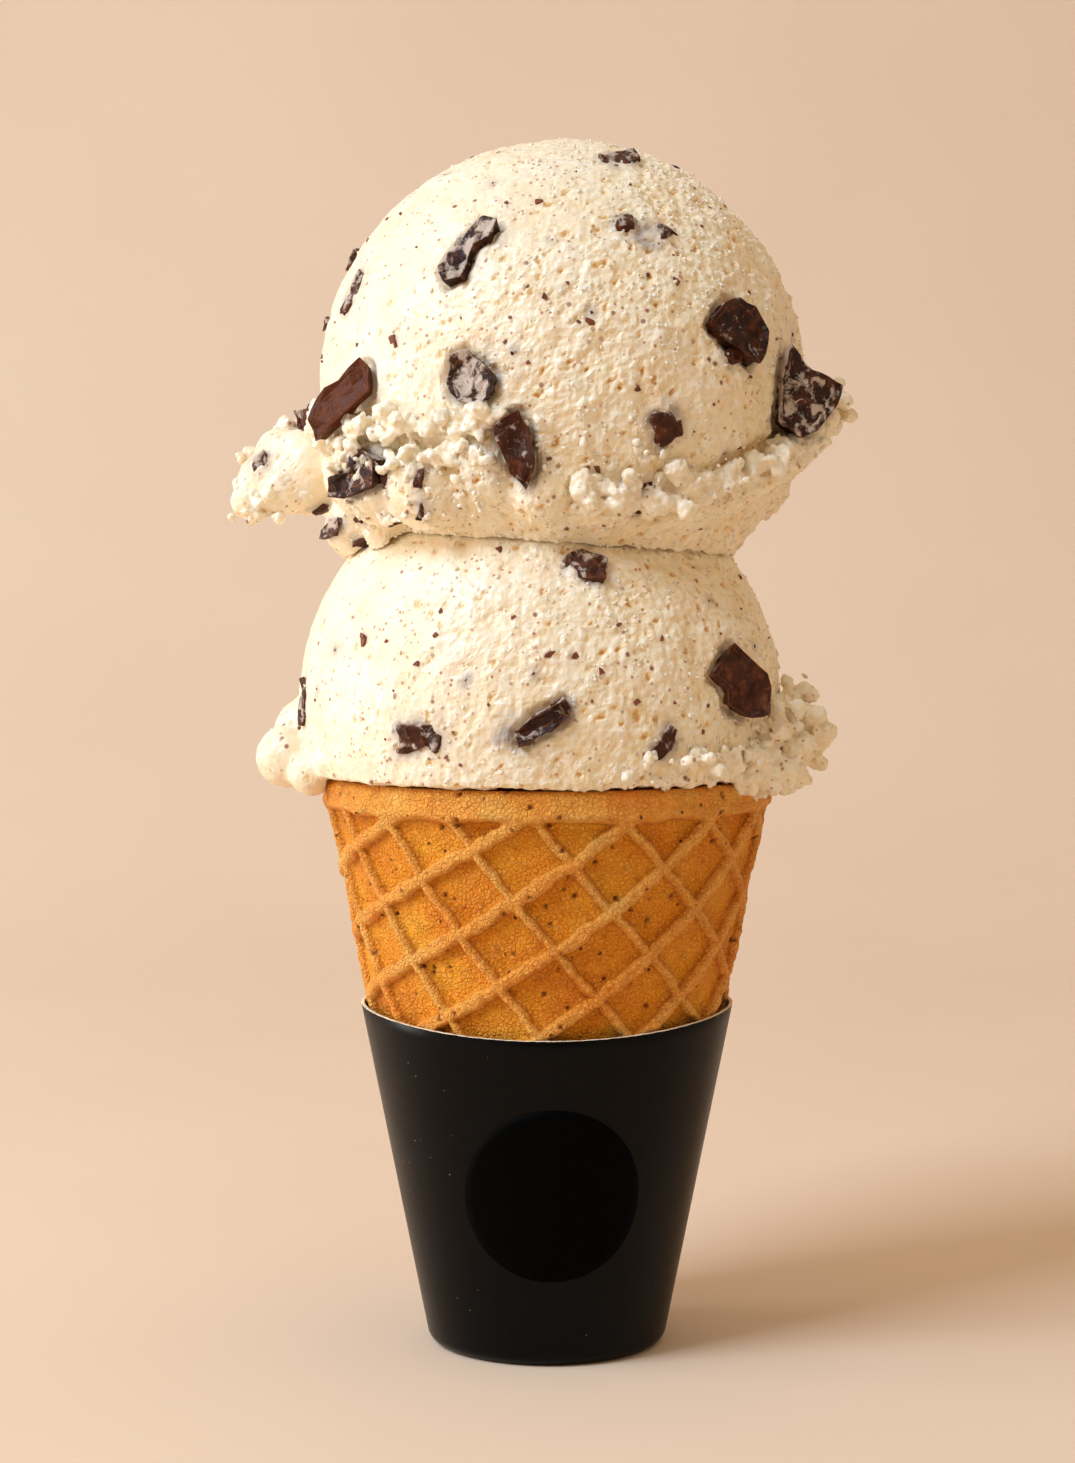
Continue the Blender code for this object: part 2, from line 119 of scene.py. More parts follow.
def add_piece(name, mesh, material, replaced=()):
    """The same for a mesh that is already made."""
    mesh.name = name
    mesh.shade_smooth()
    mesh.materials.append(material)
    piece = bpy.data.objects.new(name, mesh)
    bpy.context.scene.collection.objects.link(piece)
    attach(piece, "root")
    if replaced:
        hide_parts(*replaced)
    return piece


def freeze(piece):
    """Runs the piece's modifiers and keeps their result as its mesh."""
    graph = bpy.context.evaluated_depsgraph_get()
    mesh = bpy.data.meshes.new_from_object(piece.evaluated_get(graph))
    old = piece.data
    piece.modifiers.clear()
    piece.data = mesh
    mesh.name = piece.name
    bpy.data.meshes.remove(old)
    return mesh


def coordinates(mesh):
    """The mesh's vertices as rows of x, y and z."""
    flat = np.empty(len(mesh.vertices) * 3, dtype=np.float32)
    mesh.vertices.foreach_get("co", flat)
    return flat.reshape(-1, 3).astype(np.float64)


def normals(mesh):
    """The mesh's vertex normals as rows of x, y and z."""
    flat = np.empty(len(mesh.vertices) * 3, dtype=np.float32)
    mesh.vertex_normals.foreach_get("vector", flat)
    return flat.reshape(-1, 3).astype(np.float64)


def move_vertices(mesh, places):
    """Puts the mesh's vertices at new places."""
    mesh.vertices.foreach_set("co", places.astype(np.float32).ravel())
    mesh.update()


def paint(mesh, name, values):
    """Stores one number for each vertex, which a material can read as an attribute."""
    layer = mesh.attributes.get(name) or mesh.attributes.new(name, "FLOAT", "POINT")
    layer.data.foreach_set("value", np.asarray(values, dtype=np.float32))


def chance(cell, channel):
    """A repeatable random number from 0 to 1 for every whole-number cell."""
    mixed = cell[:, 0] * 73856093 ^ cell[:, 1] * 19349663 ^ cell[:, 2] * 83492791 ^ (channel + 1) * 40503
    mixed = (mixed ^ (mixed >> 13)) * 1274126177 & 0xFFFFFFFF
    mixed = (mixed ^ (mixed >> 15)) * 461845907 & 0xFFFFFFFF
    return ((mixed ^ (mixed >> 16)) & 0xFFFFFF) / 0xFFFFFF


def lumps(places, size, seed=0):
    """Soft noise between -1 and 1 at each place, with bumps about as wide as size."""
    spot = places / size + 100.0
    corner = np.floor(spot).astype(np.int64)
    inside = spot - corner
    share = inside**3 * (inside * (inside * 6.0 - 15.0) + 10.0)
    total = np.zeros(len(places))
    for step in itertools.product((0, 1), repeat=3):
        cell = corner + step
        slope = np.column_stack([chance(cell, seed * 3 + axis) * 2.0 - 1.0 for axis in range(3)])
        weight = np.prod(np.where(step, share, 1.0 - share), axis=1)
        total += weight * ((inside - step) * slope).sum(axis=1)
    return total * 1.4


def cells(places, size, seed=0):
    """For each place, the distances to the nearest two points of a random scatter, in cell sizes."""
    spot = places / size + 100.0
    corner = np.floor(spot).astype(np.int64)
    nearest = np.full((len(places), 2), 9.0)
    for step in itertools.product((-1, 0, 1), repeat=3):
        cell = corner + step
        point = cell + np.column_stack([chance(cell, seed * 3 + axis) for axis in range(3)])
        distance = np.sqrt(((spot - point) ** 2).sum(axis=1))
        nearest[:, 1] = np.minimum(nearest[:, 1], np.maximum(nearest[:, 0], distance))
        nearest[:, 0] = np.minimum(nearest[:, 0], distance)
    return nearest


print("helpers ready")

# %% [markdown]
# ## Building materials from nodes
# A material here is a small tree of nodes behind a Principled BSDF. The helper below makes the shader, and
# `Tree` shortens the wiring: `tree.noise(400)` adds a Noise Texture on the piece's own coordinates, and a
# Color Ramp turns its grey values into colours. Object coordinates are in metres, so a scale of 400 gives
# spots of a few millimetres.

# %% A helper for node trees
def srgb(red, green, blue):
    """A colour as a paint program names it, turned into the linear light that shaders use."""
    shares = (red / 255, green / 255, blue / 255)
    linear = [c / 12.92 if c <= 0.04045 else ((c + 0.055) / 1.055) ** 2.4 for c in shares]
    return (*linear, 1.0)


class Tree:
    """Short names for the nodes that the materials below share."""

    def __init__(self, name, roughness):
        self.material = bpy.data.materials.new(name)
        self.material.use_nodes = True
        self.nodes = self.material.node_tree.nodes
        self.links = self.material.node_tree.links
        self.shader = self.nodes["Principled BSDF"]
        self.shader.inputs["Roughness"].default_value = roughness
        self.place = self.nodes.new("ShaderNodeTexCoord").outputs["Object"]

    def put(self, socket, value):
        """Links a socket to another, or sets its value."""
        if isinstance(value, bpy.types.NodeSocket):
            self.links.new(value, socket)
        else:
            socket.default_value = value

    def noise(self, scale, detail=2.0, roughness=0.5, distortion=0.0):
        """Cloudy grey values: a larger scale gives smaller clouds."""
        node = self.nodes.new("ShaderNodeTexNoise")
        self.put(node.inputs["Vector"], self.place)
        node.inputs["Scale"].default_value = scale
        node.inputs["Detail"].default_value = detail
        node.inputs["Roughness"].default_value = roughness
        node.inputs["Distortion"].default_value = distortion
        return node.outputs["Fac"]

    def voronoi(self, scale, feature="F1"):
        """The distance to the nearest point of a random scatter, or to the edge between two."""
        node = self.nodes.new("ShaderNodeTexVoronoi")
        node.feature = feature
        self.put(node.inputs["Vector"], self.place)
        node.inputs["Scale"].default_value = scale
        return node.outputs["Distance"]

    def attribute(self, name):
        """The values that `paint` stored on the mesh under a name."""
        node = self.nodes.new("ShaderNodeAttribute")
        node.attribute_name = name
        return node.outputs["Fac"]

    def ramp(self, value, *stops):
        """A Color Ramp: each stop is a position and a colour or a grey value."""
        node = self.nodes.new("ShaderNodeValToRGB")
        elements = node.color_ramp.elements
        while len(elements) < len(stops):
            elements.new(0.5)
        for element, (position, colour) in zip(elements, sorted(stops, key=lambda stop: stop[0])):
            element.position = position
            element.color = colour if isinstance(colour, tuple) else (colour, colour, colour, 1.0)
        self.put(node.inputs["Fac"], value)
        return node.outputs["Color"]

    def maths(self, operation, first, second, clamp=False):
        """One sum on two values, each a number or another node's socket."""
        node = self.nodes.new("ShaderNodeMath")
        node.operation = operation
        node.use_clamp = clamp
        self.put(node.inputs[0], first)
        self.put(node.inputs[1], second)
        return node.outputs[0]

    def mix(self, share, first, second):
        """Goes from the first colour to the second: a Mix node's colour sockets are 6, 7 and 2."""
        node = self.nodes.new("ShaderNodeMix")
        node.data_type = "RGBA"
        self.put(node.inputs["Factor"], share)
        self.put(node.inputs[6], first)
        self.put(node.inputs[7], second)
        return node.outputs[2]

    def bump(self, height, distance, strength=1.0, below=None):
        """Tilts the surface by a height that is a share of distance, in metres."""
        node = self.nodes.new("ShaderNodeBump")
        node.inputs["Distance"].default_value = distance
        node.inputs["Strength"].default_value = strength
        self.put(node.inputs["Height"], height)
        if below:
            self.put(node.inputs["Normal"], below)
        return node.outputs["Normal"]

    def finish(self, colour, roughness=None, normal=None):
        """Plugs the results into the shader."""
        self.put(self.shader.inputs["Base Color"], colour)
        if roughness is not None:
            self.put(self.shader.inputs["Roughness"], roughness)
        if normal is not None:
            self.put(self.shader.inputs["Normal"], normal)
        return self.material


print("node helper ready")

# %% [markdown]
# ## Ice cream
# Real ice cream lets light in a little way, so its shadows stay warm. Subsurface scattering does that. Its
# crests are painted nearly white as painted light and its hollows a darker yellow as painted shade, which
# the `relief` attribute carries from the mesh.
# Round chocolate the cream turns a cold grey, which the `haze` attribute carries. Dust from the chocolate
# shows as fine specks: a Voronoi texture's cell centres, kept only where a coarser noise is high.

# %% The ice cream's material
def ice_cream_material():
    tree = Tree("ice_cream", 0.46)
    relief = tree.attribute("relief")
    # Painted shade and light: low relief in pits, creases and grooves is darker yellow, high relief near
    # white.
    cream = tree.ramp(
        relief,
        (0.0, srgb(228, 182, 116)),
        (0.32, srgb(244, 216, 165)),
        (0.55, srgb(250, 233, 199)),
        (1.0, srgb(254, 246, 228)),
    )
    blotches = tree.ramp(tree.noise(170, 3.0), (0.40, 0.0), (0.72, 1.0))
    cream = tree.mix(tree.maths("MULTIPLY", blotches, 0.30), cream, srgb(238, 206, 146))
    haze = tree.attribute("haze")
    cream = tree.mix(tree.maths("MULTIPLY", haze, 0.8, clamp=True), cream, srgb(164, 154, 150))
    few = tree.ramp(tree.noise(300, 1.0), (0.42, 0.0), (0.58, 0.8))
    specks = tree.ramp(tree.voronoi(850), (0.12, 1.0), (0.25, 0.0))
    cream = tree.mix(tree.maths("MULTIPLY", specks, few), cream, srgb(172, 104, 54))
    some = tree.ramp(tree.noise(120, 1.0), (0.50, 0.0), (0.60, 1.0))
    flecks = tree.ramp(tree.voronoi(380), (0.09, 0.9), (0.17, 0.0))
    cream = tree.mix(tree.maths("MULTIPLY", flecks, some), cream, srgb(138, 74, 40))
    yolk = tree.ramp(tree.noise(620, 3.0, 0.6), (0.60, 0.0), (0.74, 0.5))
    cream = tree.mix(yolk, cream, srgb(240, 196, 126))
    crystals = tree.bump(tree.voronoi(1500), 0.0001, 0.5)
    skin = tree.bump(tree.noise(900, 3.0, 0.55), 0.00022, 0.7, crystals)
    wet = tree.ramp(tree.noise(420, 2.0), (0.35, 0.28), (0.70, 0.50))
    tree.shader.inputs["Subsurface Weight"].default_value = 0.22
    tree.shader.inputs["Subsurface Radius"].default_value = (1.0, 0.62, 0.34)
    tree.shader.inputs["Subsurface Scale"].default_value = 0.0022
    return tree.finish(cream, wet, skin)


ice_cream = ice_cream_material()
print("ice cream:", len(ice_cream.node_tree.nodes), "nodes")

# %% [markdown]
# ## Chocolate
# Broken chocolate is almost black on its flat faces. Its bevelled creases are painted a lighter brown, a
# painted highlight along the edges. Cold pieces wear frost: pale patches that a noise texture breaks up,
# painted heavier on faces turned up and to the left, towards the key lamp, as painted light. Some pieces
# are painted a lighter brown all over, which on the shard is painted light. The mesh carries all three as
# the attributes `edge`, `frost` and `warmth`.

# %% The chocolate's material
def chocolate_material():
    tree = Tree("dark_chocolate", 0.3)
    grain = tree.noise(600, 4.0, 0.6)
    dark = tree.ramp(grain, (0.3, srgb(18, 5, 2)), (0.52, srgb(52, 22, 9)), (0.76, srgb(112, 60, 28)))
    # Painted highlight: the bevelled creases in `edge` are mixed towards a lighter brown.
    edge = tree.attribute("edge")
    broken = tree.ramp(tree.noise(900, 3.0), (0.36, 0.25), (0.62, 1.0))
    edge_highlight = tree.maths("MULTIPLY", tree.maths("MULTIPLY", edge, broken), 0.6)
    brown = tree.mix(edge_highlight, dark, srgb(138, 74, 34))
    # Painted light: `warmth` lightens whole pieces, most of all the shard.
    brown = tree.mix(tree.attribute("warmth"), brown, srgb(122, 58, 20))
    cold = tree.maths("ADD", tree.noise(520, 5.0, 0.65, 0.6), tree.attribute("frost"))
    frost = tree.ramp(cold, (0.90, 0.0), (1.24, 1.0))
    colour = tree.mix(tree.maths("MULTIPLY", frost, 0.9), brown, srgb(206, 188, 172))
    rough = tree.mix(frost, tree.ramp(grain, (0.3, 0.30), (0.7, 0.55)), (0.7, 0.7, 0.7, 1.0))
    tree.shader.inputs["Specular IOR Level"].default_value = 0.24
    pits = tree.bump(tree.noise(1300, 4.0, 0.6), 0.0004, 0.8)
    return tree.finish(colour, rough, tree.bump(frost, 0.0002, 0.5, pits))


def cocoa_material():
    tree = Tree("cocoa_speck", 0.6)
    grain = tree.noise(800, 3.0)
    return tree.finish(tree.ramp(grain, (0.3, srgb(92, 42, 24)), (0.7, srgb(142, 76, 46))))


dark_chocolate = chocolate_material()
cocoa = cocoa_material()
print("chocolate:", len(dark_chocolate.node_tree.nodes), "nodes")

# %% [markdown]
# ## Baked wafer
# The flat floors of the pockets are painted browner than the ribs between them, as painted shade in the
# pockets and painted light on the crests. The `rib` attribute tells the two apart, from 0 on a floor to 1
# on a crest, and the foot of each rib is painted browner than both, as painted shade in the crease. Sugar
# and fat fry into tiny wormlike wrinkles and pores, which a distorted noise and a sparse Voronoi texture
# give. The pores and the pressed pits are painted dark brown as painted shade.

# %% The wafer's material
def wafer_material():
    tree = Tree("baked_wafer", 0.55)
    rib = tree.attribute("rib")
    toast = tree.noise(95, 3.0, 0.6)
    floor = tree.ramp(
        toast,
        (0.30, srgb(232, 132, 12)),
        (0.50, srgb(250, 158, 26)),
        (0.72, srgb(255, 182, 50)),
    )
    crest = tree.ramp(
        toast,
        (0.30, srgb(255, 156, 48)),
        (0.55, srgb(255, 182, 80)),
        (0.75, srgb(255, 208, 118)),
    )
    # Painted light and shade: crests are mixed lighter and floors browner by the `rib` value.
    colour = tree.mix(tree.ramp(rib, (0.25, 0.0), (0.85, 1.0)), floor, crest)
    # Painted shade in the crease at the foot of each rib.
    foot = tree.maths("MULTIPLY", tree.ramp(rib, (0.04, 0.0), (0.28, 1.0), (0.62, 0.0)), 0.5)
    colour = tree.mix(foot, colour, srgb(176, 88, 8))
    worms = tree.noise(1250, 4.0, 0.62, 1.6)
    colour = tree.mix(tree.ramp(worms, (0.54, 0.0), (0.68, 0.5)), colour, srgb(255, 190, 100))
    colour = tree.mix(tree.ramp(worms, (0.32, 0.55), (0.44, 0.0)), colour, srgb(178, 90, 12))
    # Painted shade: the pores and the pressed pits are mixed towards dark brown.
    where = tree.ramp(tree.noise(210, 1.0), (0.52, 0.0), (0.62, 1.0))
    pores = tree.maths("MULTIPLY", tree.ramp(tree.voronoi(520), (0.10, 1.0), (0.17, 0.0)), where)
    colour = tree.mix(pores, colour, srgb(96, 44, 12))
    pore_shade = tree.attribute("pore")
    colour = tree.mix(pore_shade, colour, srgb(132, 62, 14))
    crackle = tree.ramp(tree.voronoi(1500, "DISTANCE_TO_EDGE"), (0.0, 1.0), (0.22, 0.0))
    patchy = tree.ramp(tree.noise(420, 3.0), (0.46, 0.0), (0.62, 0.30))
    colour = tree.mix(tree.maths("MULTIPLY", crackle, patchy), colour, srgb(168, 84, 10))
    cracked = tree.maths("SUBTRACT", worms, tree.maths("MULTIPLY", crackle, 0.4))
    wrinkles = tree.bump(cracked, 0.0006, 0.9)
    holes = tree.bump(tree.maths("SUBTRACT", 1.0, pores), 0.0004, 0.9, wrinkles)
    shine = tree.ramp(toast, (0.3, 0.46), (0.7, 0.64))
    tree.shader.inputs["Specular IOR Level"].default_value = 0.3
    tree.shader.inputs["Subsurface Weight"].default_value = 0.08
    tree.shader.inputs["Subsurface Radius"].default_value = (1.0, 0.4, 0.12)
    tree.shader.inputs["Subsurface Scale"].default_value = 0.0012
    return tree.finish(colour, shine, holes)


baked_wafer = wafer_material()
print("wafer:", len(baked_wafer.node_tree.nodes), "nodes")

# %% [markdown]
# ## Black card
# The sleeve is card with a smooth black coat that still shows the fibres below as a very low, soft relief,
# and a little dust. Where the knife cut it, the raw board is pale. The round panel on its front is a bare
# black sticker with a flatter finish.

# %% The card's materials
def card_material():
    tree = Tree("black_card", 0.34)
    fibres = tree.noise(700, 4.0, 0.6)
    black = tree.ramp(fibres, (0.3, srgb(2, 2, 2)), (0.7, srgb(5, 4, 4)))
    rare = tree.ramp(tree.noise(90, 1.0), (0.56, 0.0), (0.60, 1.0))
    dust = tree.maths("MULTIPLY", tree.ramp(tree.voronoi(560), (0.035, 1.0), (0.06, 0.0)), rare)
    colour = tree.mix(dust, black, srgb(150, 142, 132))
    rough = tree.ramp(tree.noise(60, 3.0), (0.3, 0.30), (0.7, 0.38))
    tree.shader.inputs["Specular IOR Level"].default_value = 0.11
    return tree.finish(colour, rough, tree.bump(fibres, 0.00006, 0.35))


def raw_board_material():
    tree = Tree("raw_board_edge", 0.85)
    fibres = tree.noise(1800, 3.0, 0.6)
    colour = tree.ramp(
        fibres,
        (0.3, srgb(190, 158, 112)),
        (0.5, srgb(240, 222, 188)),
        (0.7, srgb(252, 242, 218)),
    )
    return tree.finish(colour, None, tree.bump(fibres, 0.0002, 0.8))


def sticker_material():
    tree = Tree("sticker_black", 0.62)
    fibres = tree.noise(900, 3.0)
    colour = tree.ramp(fibres, (0.3, srgb(1, 1, 1)), (0.7, srgb(3, 3, 3)))
    tree.shader.inputs["Specular IOR Level"].default_value = 0.03
    return tree.finish(colour, None, tree.bump(fibres, 0.00003, 0.3))


black_card = card_material()
raw_board = raw_board_material()
sticker_black = sticker_material()
print("card materials ready")

# %% [markdown]
# ## The card sleeve
# A turned shape is a profile spun round an axis. `bmesh.ops.spin` sweeps the profile's vertices round the
# upright axis, and `use_merge` welds the last copy to the first. The profile is finer than the CAD model's,
# with a rounded foot and a lip that the light can catch. Then the mouth is bent so that its front and back
# hang lower, as card does when it is wrapped round a cone and glued.

# %% Spin the sleeve
SLEEVE_STEPS = 240
SLEEVE_CORNER = 2.2 * MM
MOUTH_DIP = 1.8 * MM
BELT_Z = SLEEVE_HEIGHT * 0.7
CARD_ACROSS = CARD / math.cos(TILT)


def arc(centre_r, centre_z, radius, start, stop, steps):
    """Points of a profile along an arc, from start to stop in degrees."""
    angles = (math.radians(start + (stop - start) * k / steps) for k in range(steps + 1))
    return [(centre_r + radius * math.cos(a), centre_z + radius * math.sin(a)) for a in angles]


def spin_profile(profile, steps, start=0.0):
    """Spins a profile of (radius, z) once round the Z axis and welds it shut."""
    bm = bmesh.new()
    points = [bm.verts.new(round_the_axis(start, r, z)) for r, z in profile]
    edges = [bm.edges.new(pair) for pair in zip(points, points[1:])]
    bmesh.ops.spin(
        bm,
        geom=points + edges,
        angle=math.tau,
        steps=steps,
        axis=(0, 0, 1),
        cent=(0, 0, 0),
        use_merge=True,
    )
    bmesh.ops.remove_doubles(bm, verts=bm.verts, dist=1e-6)
    bmesh.ops.recalc_face_normals(bm, faces=bm.faces)
    return bm


def sleeve_profile():
    """The card's outer side from the axis to the lip, then its inner side back to the axis."""
    lean = math.degrees(TILT)
    tangent_z = SLEEVE_CORNER * (1.0 - math.sin(TILT))
    corner_r = sleeve_radius(tangent_z) - SLEEVE_CORNER * math.cos(TILT)
    wall = [tangent_z + (SLEEVE_HEIGHT - tangent_z) * k / 24 for k in range(1, 24)]
    outer = [(0.0, 0.0), (corner_r * 0.5, 0.0)]
    outer += arc(corner_r, SLEEVE_CORNER, SLEEVE_CORNER, -90.0, -lean, 8)
    outer += [(sleeve_radius(z), z) for z in wall]
    lip = [
        (sleeve_radius(SLEEVE_HEIGHT) - 0.02 * MM, SLEEVE_HEIGHT - 0.06 * MM),
        (sleeve_radius(SLEEVE_HEIGHT) - 0.07 * MM, SLEEVE_HEIGHT),
        (sleeve_radius(SLEEVE_HEIGHT) - CARD_ACROSS + 0.05 * MM, SLEEVE_HEIGHT),
        (sleeve_radius(SLEEVE_HEIGHT) - CARD_ACROSS, SLEEVE_HEIGHT - 0.05 * MM),
    ]
    inner = [(sleeve_radius(z) - CARD_ACROSS, z) for z in reversed(wall)]
    inner += arc(corner_r, SLEEVE_CORNER, SLEEVE_CORNER - CARD, -lean, -90.0, 8)
    return outer + lip + inner + [(0.0, CARD)]


def bend_mouth(bm):
    """Lets the front and the back of the mouth hang, and roughens the cut edge a little."""
    for vertex in bm.verts:
        height = (vertex.co.z - BELT_Z) / (SLEEVE_HEIGHT - BELT_Z)
        if height <= 0.0:
            continue
        radius = math.hypot(vertex.co.x, vertex.co.y)
        facing = (vertex.co.y / radius) ** 2
        ragged = noise.noise(vertex.co / (0.9 * MM)) * 0.06 * MM * (height > 0.97)
        drop = MOUTH_DIP * facing * height - ragged
        scale = (radius - TAPER * drop) / radius
        vertex.co = Vector((vertex.co.x * scale, vertex.co.y * scale, vertex.co.z - drop))


bm = spin_profile(sleeve_profile(), SLEEVE_STEPS)
lip_z = SLEEVE_HEIGHT - MM
edge_faces = [f for f in bm.faces if f.normal.z > 0.5 and f.calc_center_median().z > lip_z]
for face in edge_faces:
    face.material_index = 1
bend_mouth(bm)
print("sleeve faces:", len(bm.faces), "of which cut edge:", len(edge_faces))
card_sleeve = make_piece("card_sleeve", bm, black_card, ["sleeve"])
card_sleeve.data.materials.append(raw_board)

# %% [markdown]
# ## The card's glued lap and the front panel
# Both are thin pieces that follow the sleeve's tapered wall. The easy way is to make each flat, as a fine
# grid, then to wrap it: across becomes a bearing and up stays up. The lap is the strip at the back where
# the card's end is glued down. The panel is a plain black disc, spun from a short radius.

# %% Wrap flat shapes round the sleeve
def wrap_on_sleeve(bm, bearing, height, lift):
    """Moves a flat shape in the XZ plane onto the sleeve's wall, with Y as the distance above it."""
    for vertex in bm.verts:
        z = height + vertex.co.z * math.cos(TILT)
        radius = sleeve_radius(z) + lift + vertex.co.y
        turn = math.degrees(vertex.co.x / sleeve_radius(z))
        vertex.co = round_the_axis(bearing + turn, radius, z)


def flat_disc(radius, rings, steps):
    """A disc in the XZ plane made of rings, so that it can bend."""
    bm = bmesh.new()
    points = [bm.verts.new((radius * k / rings, 0.0, 0.0)) for k in range(rings + 1)]
    edges = [bm.edges.new(pair) for pair in zip(points, points[1:])]
    bmesh.ops.spin(
        bm,
        geom=points + edges,
        angle=math.tau,
        steps=steps,
        axis=(0, 1, 0),
        cent=(0, 0, 0),
        use_merge=True,
    )
    bmesh.ops.remove_doubles(bm, verts=bm.verts, dist=1e-6)
    return bm


def thicken(bm, thickness):
    """Gives a sheet in the XZ plane its thickness along Y, the way the wall faces."""
    swept = bmesh.ops.extrude_face_region(bm, geom=bm.faces[:])
    raised = [item for item in swept["geom"] if isinstance(item, bmesh.types.BMVert)]
    bmesh.ops.translate(bm, verts=raised, vec=(0.0, thickness, 0.0))


PANEL_RADIUS = 12.4 * MM
PANEL_BEARING = 1.9
PANEL_Z = 24.6 * MM
bm = flat_disc(PANEL_RADIUS, 12, 120)
thicken(bm, 0.09 * MM)
wrap_on_sleeve(bm, PANEL_BEARING, PANEL_Z, 0.012 * MM)
bmesh.ops.recalc_face_normals(bm, faces=bm.faces)
front_panel = make_piece("front_panel", bm, sticker_black)

LAP_WIDTH = 7.0 * MM
LAP_TOP = SLEEVE_HEIGHT - MOUTH_DIP - 0.1 * MM
LAP_FOOT = 3.0 * MM
bm = bmesh.new()
bmesh.ops.create_grid(bm, x_segments=12, y_segments=40, size=0.5)
bmesh.ops.rotate(bm, verts=bm.verts, matrix=Matrix.Rotation(math.pi / 2, 3, "X"), cent=(0, 0, 0))
lap_height = (LAP_TOP - LAP_FOOT) / math.cos(TILT)
bmesh.ops.scale(bm, verts=bm.verts, vec=(LAP_WIDTH, 1.0, lap_height))
thicken(bm, 0.16 * MM)
wrap_on_sleeve(bm, 180.0, (LAP_TOP + LAP_FOOT) / 2, 0.01 * MM)
bmesh.ops.recalc_face_normals(bm, faces=bm.faces)
glued_lap = make_piece("glued_lap", bm, black_card)
print("panel", len(front_panel.data.polygons), "faces, lap", len(glued_lap.data.polygons), "faces")

# %% [markdown]
# ## The wafer's relief
# The wafer is baked flat between two irons and rolled while hot, so its grid is straight on the unrolled
# sheet and curves on the cone. A point of the cone at bearing `b` unrolls to the angle `b * sin(tilt)`
# round the cone's point. There the grid is two families of straight ribs. Every vertex looks up its
# distance to the nearest rib of each family, and that gives its height: 1 on a crest, 0 on a floor.

# %% Height of the wafer's ribs
CONE_POINT_Z = -wafer_radius(0.0) / TAPER
GRID_CROSSING = np.array((-2.5, 158.3))
LEFT_RIB_ANGLE = math.radians(-50.2)
RIGHT_RIB_ANGLE = math.radians(-146.4)
LEFT_RIB = np.array((math.cos(LEFT_RIB_ANGLE), math.sin(LEFT_RIB_ANGLE))) * 8.9
RIGHT_RIB = np.array((math.cos(RIGHT_RIB_ANGLE), math.sin(RIGHT_RIB_ANGLE))) * 9.35
POCKET_DEPTH = 1.25 * MM
RIDGE_Z = CONE_RIM_Z - 3.4 * MM
LAP_BEARING = 168.0
LAP_STEP = 0.9 * MM
LAP_FADE = 70.0


def unrolled(places):
    """Where places on the cone lie on the flat wafer, in mm from the cone's point."""
    bearing = np.degrees(np.arctan2(places[:, 0], -places[:, 1]))
    bearing = (bearing - LAP_BEARING) % 360.0 + LAP_BEARING - 360.0
    angle = np.radians(bearing) * math.sin(TILT)
    slant = (places[:, 2] - CONE_POINT_Z) / math.cos(TILT) / MM
    return np.column_stack((slant * np.sin(angle), slant * np.cos(angle))), bearing


def rib_heights(places):
    """The ribs' height at each place, from 0 to 1, with wavy sides and puffed stretches."""
    flat, bearing = unrolled(places)
    wander = np.column_stack((lumps(places, 4 * MM, 1), lumps(places, 4 * MM, 2))) * 0.36
    ragged = lumps(places, 1.1 * MM, 3) * 0.22
    both = np.column_stack((LEFT_RIB, RIGHT_RIB))
    steps = np.linalg.solve(both, (flat + wander - GRID_CROSSING).T).T
    area = abs(np.linalg.det(both))
    off = np.abs(steps - np.round(steps))
    to_right_rib = off[:, 0] * area / np.linalg.norm(RIGHT_RIB) + ragged
    to_left_rib = off[:, 1] * area / np.linalg.norm(LEFT_RIB) + ragged
    puff = 1.0 + 0.5 * lumps(places, 2.6 * MM, 4)
    between = np.sin(np.pi * np.clip(off[:, 1] * 2, 0, 1) * 0.5)
    narrow = 1.0 - smooth_step((to_left_rib - 0.30 * puff) / 0.72)
    wide = 1.0 - smooth_step((to_right_rib - 0.44 * puff - 0.22 * between) / 0.74)
    return np.maximum(narrow * 0.92, wide * (0.86 + 0.14 * puff)), bearing


print(f"grid cells are {LEFT_RIB.round(1)} by {RIGHT_RIB.round(1)} mm on the flat wafer")

# %% [markdown]
# ## The waffle cone
# The part that shows is spun with a fine profile, about a third of a millimetre a step, because its relief
# is real geometry. The part inside the sleeve and the inner wall stay coarse. Under the rim the sheet keeps
# a plain band above a crimped ridge. At the back the rolled sheet laps over itself, which is a step in the
# surface that fades away round the cone.

# %% Spin and press the cone
WAFER = 3.0 * MM
WAFER_COLUMNS = 124
COLUMN_CUTS = 4
SHOWN_FROM = SLEEVE_HEIGHT - MOUTH_DIP - 1.6 * MM
SHOWN_ROWS = 112


def wafer_profile():
    """The outer wall, coarse then fine, over the rim and down the inner wall."""
    wall_across = WAFER / math.cos(TILT)
    inner_foot_z = CONE_FOOT_Z + WAFER
    chamfer = 2.4 * MM
    rim_round = 0.9 * MM
    top = CONE_RIM_Z - rim_round
    shown = [SHOWN_FROM + (top - SHOWN_FROM) * k / SHOWN_ROWS for k in range(SHOWN_ROWS + 1)]
    profile = [(0.0, CONE_FOOT_Z), (wafer_radius(CONE_FOOT_Z) - chamfer, CONE_FOOT_Z)]
    profile += [(wafer_radius(z), z) for z in (CONE_FOOT_Z + chamfer, SHOWN_FROM * 0.6)]
    profile += [(wafer_radius(z), z) for z in shown]
    profile += arc(wafer_radius(top) - rim_round, top, rim_round, 18.0, 90.0, 4)
    profile += [(wafer_radius(CONE_RIM_Z) - wall_across, CONE_RIM_Z)]
    profile += [(wafer_radius(z) - wall_across, z) for z in (CONE_RIM_Z * 0.5, inner_foot_z)]
    return profile + [(0.0, inner_foot_z)]


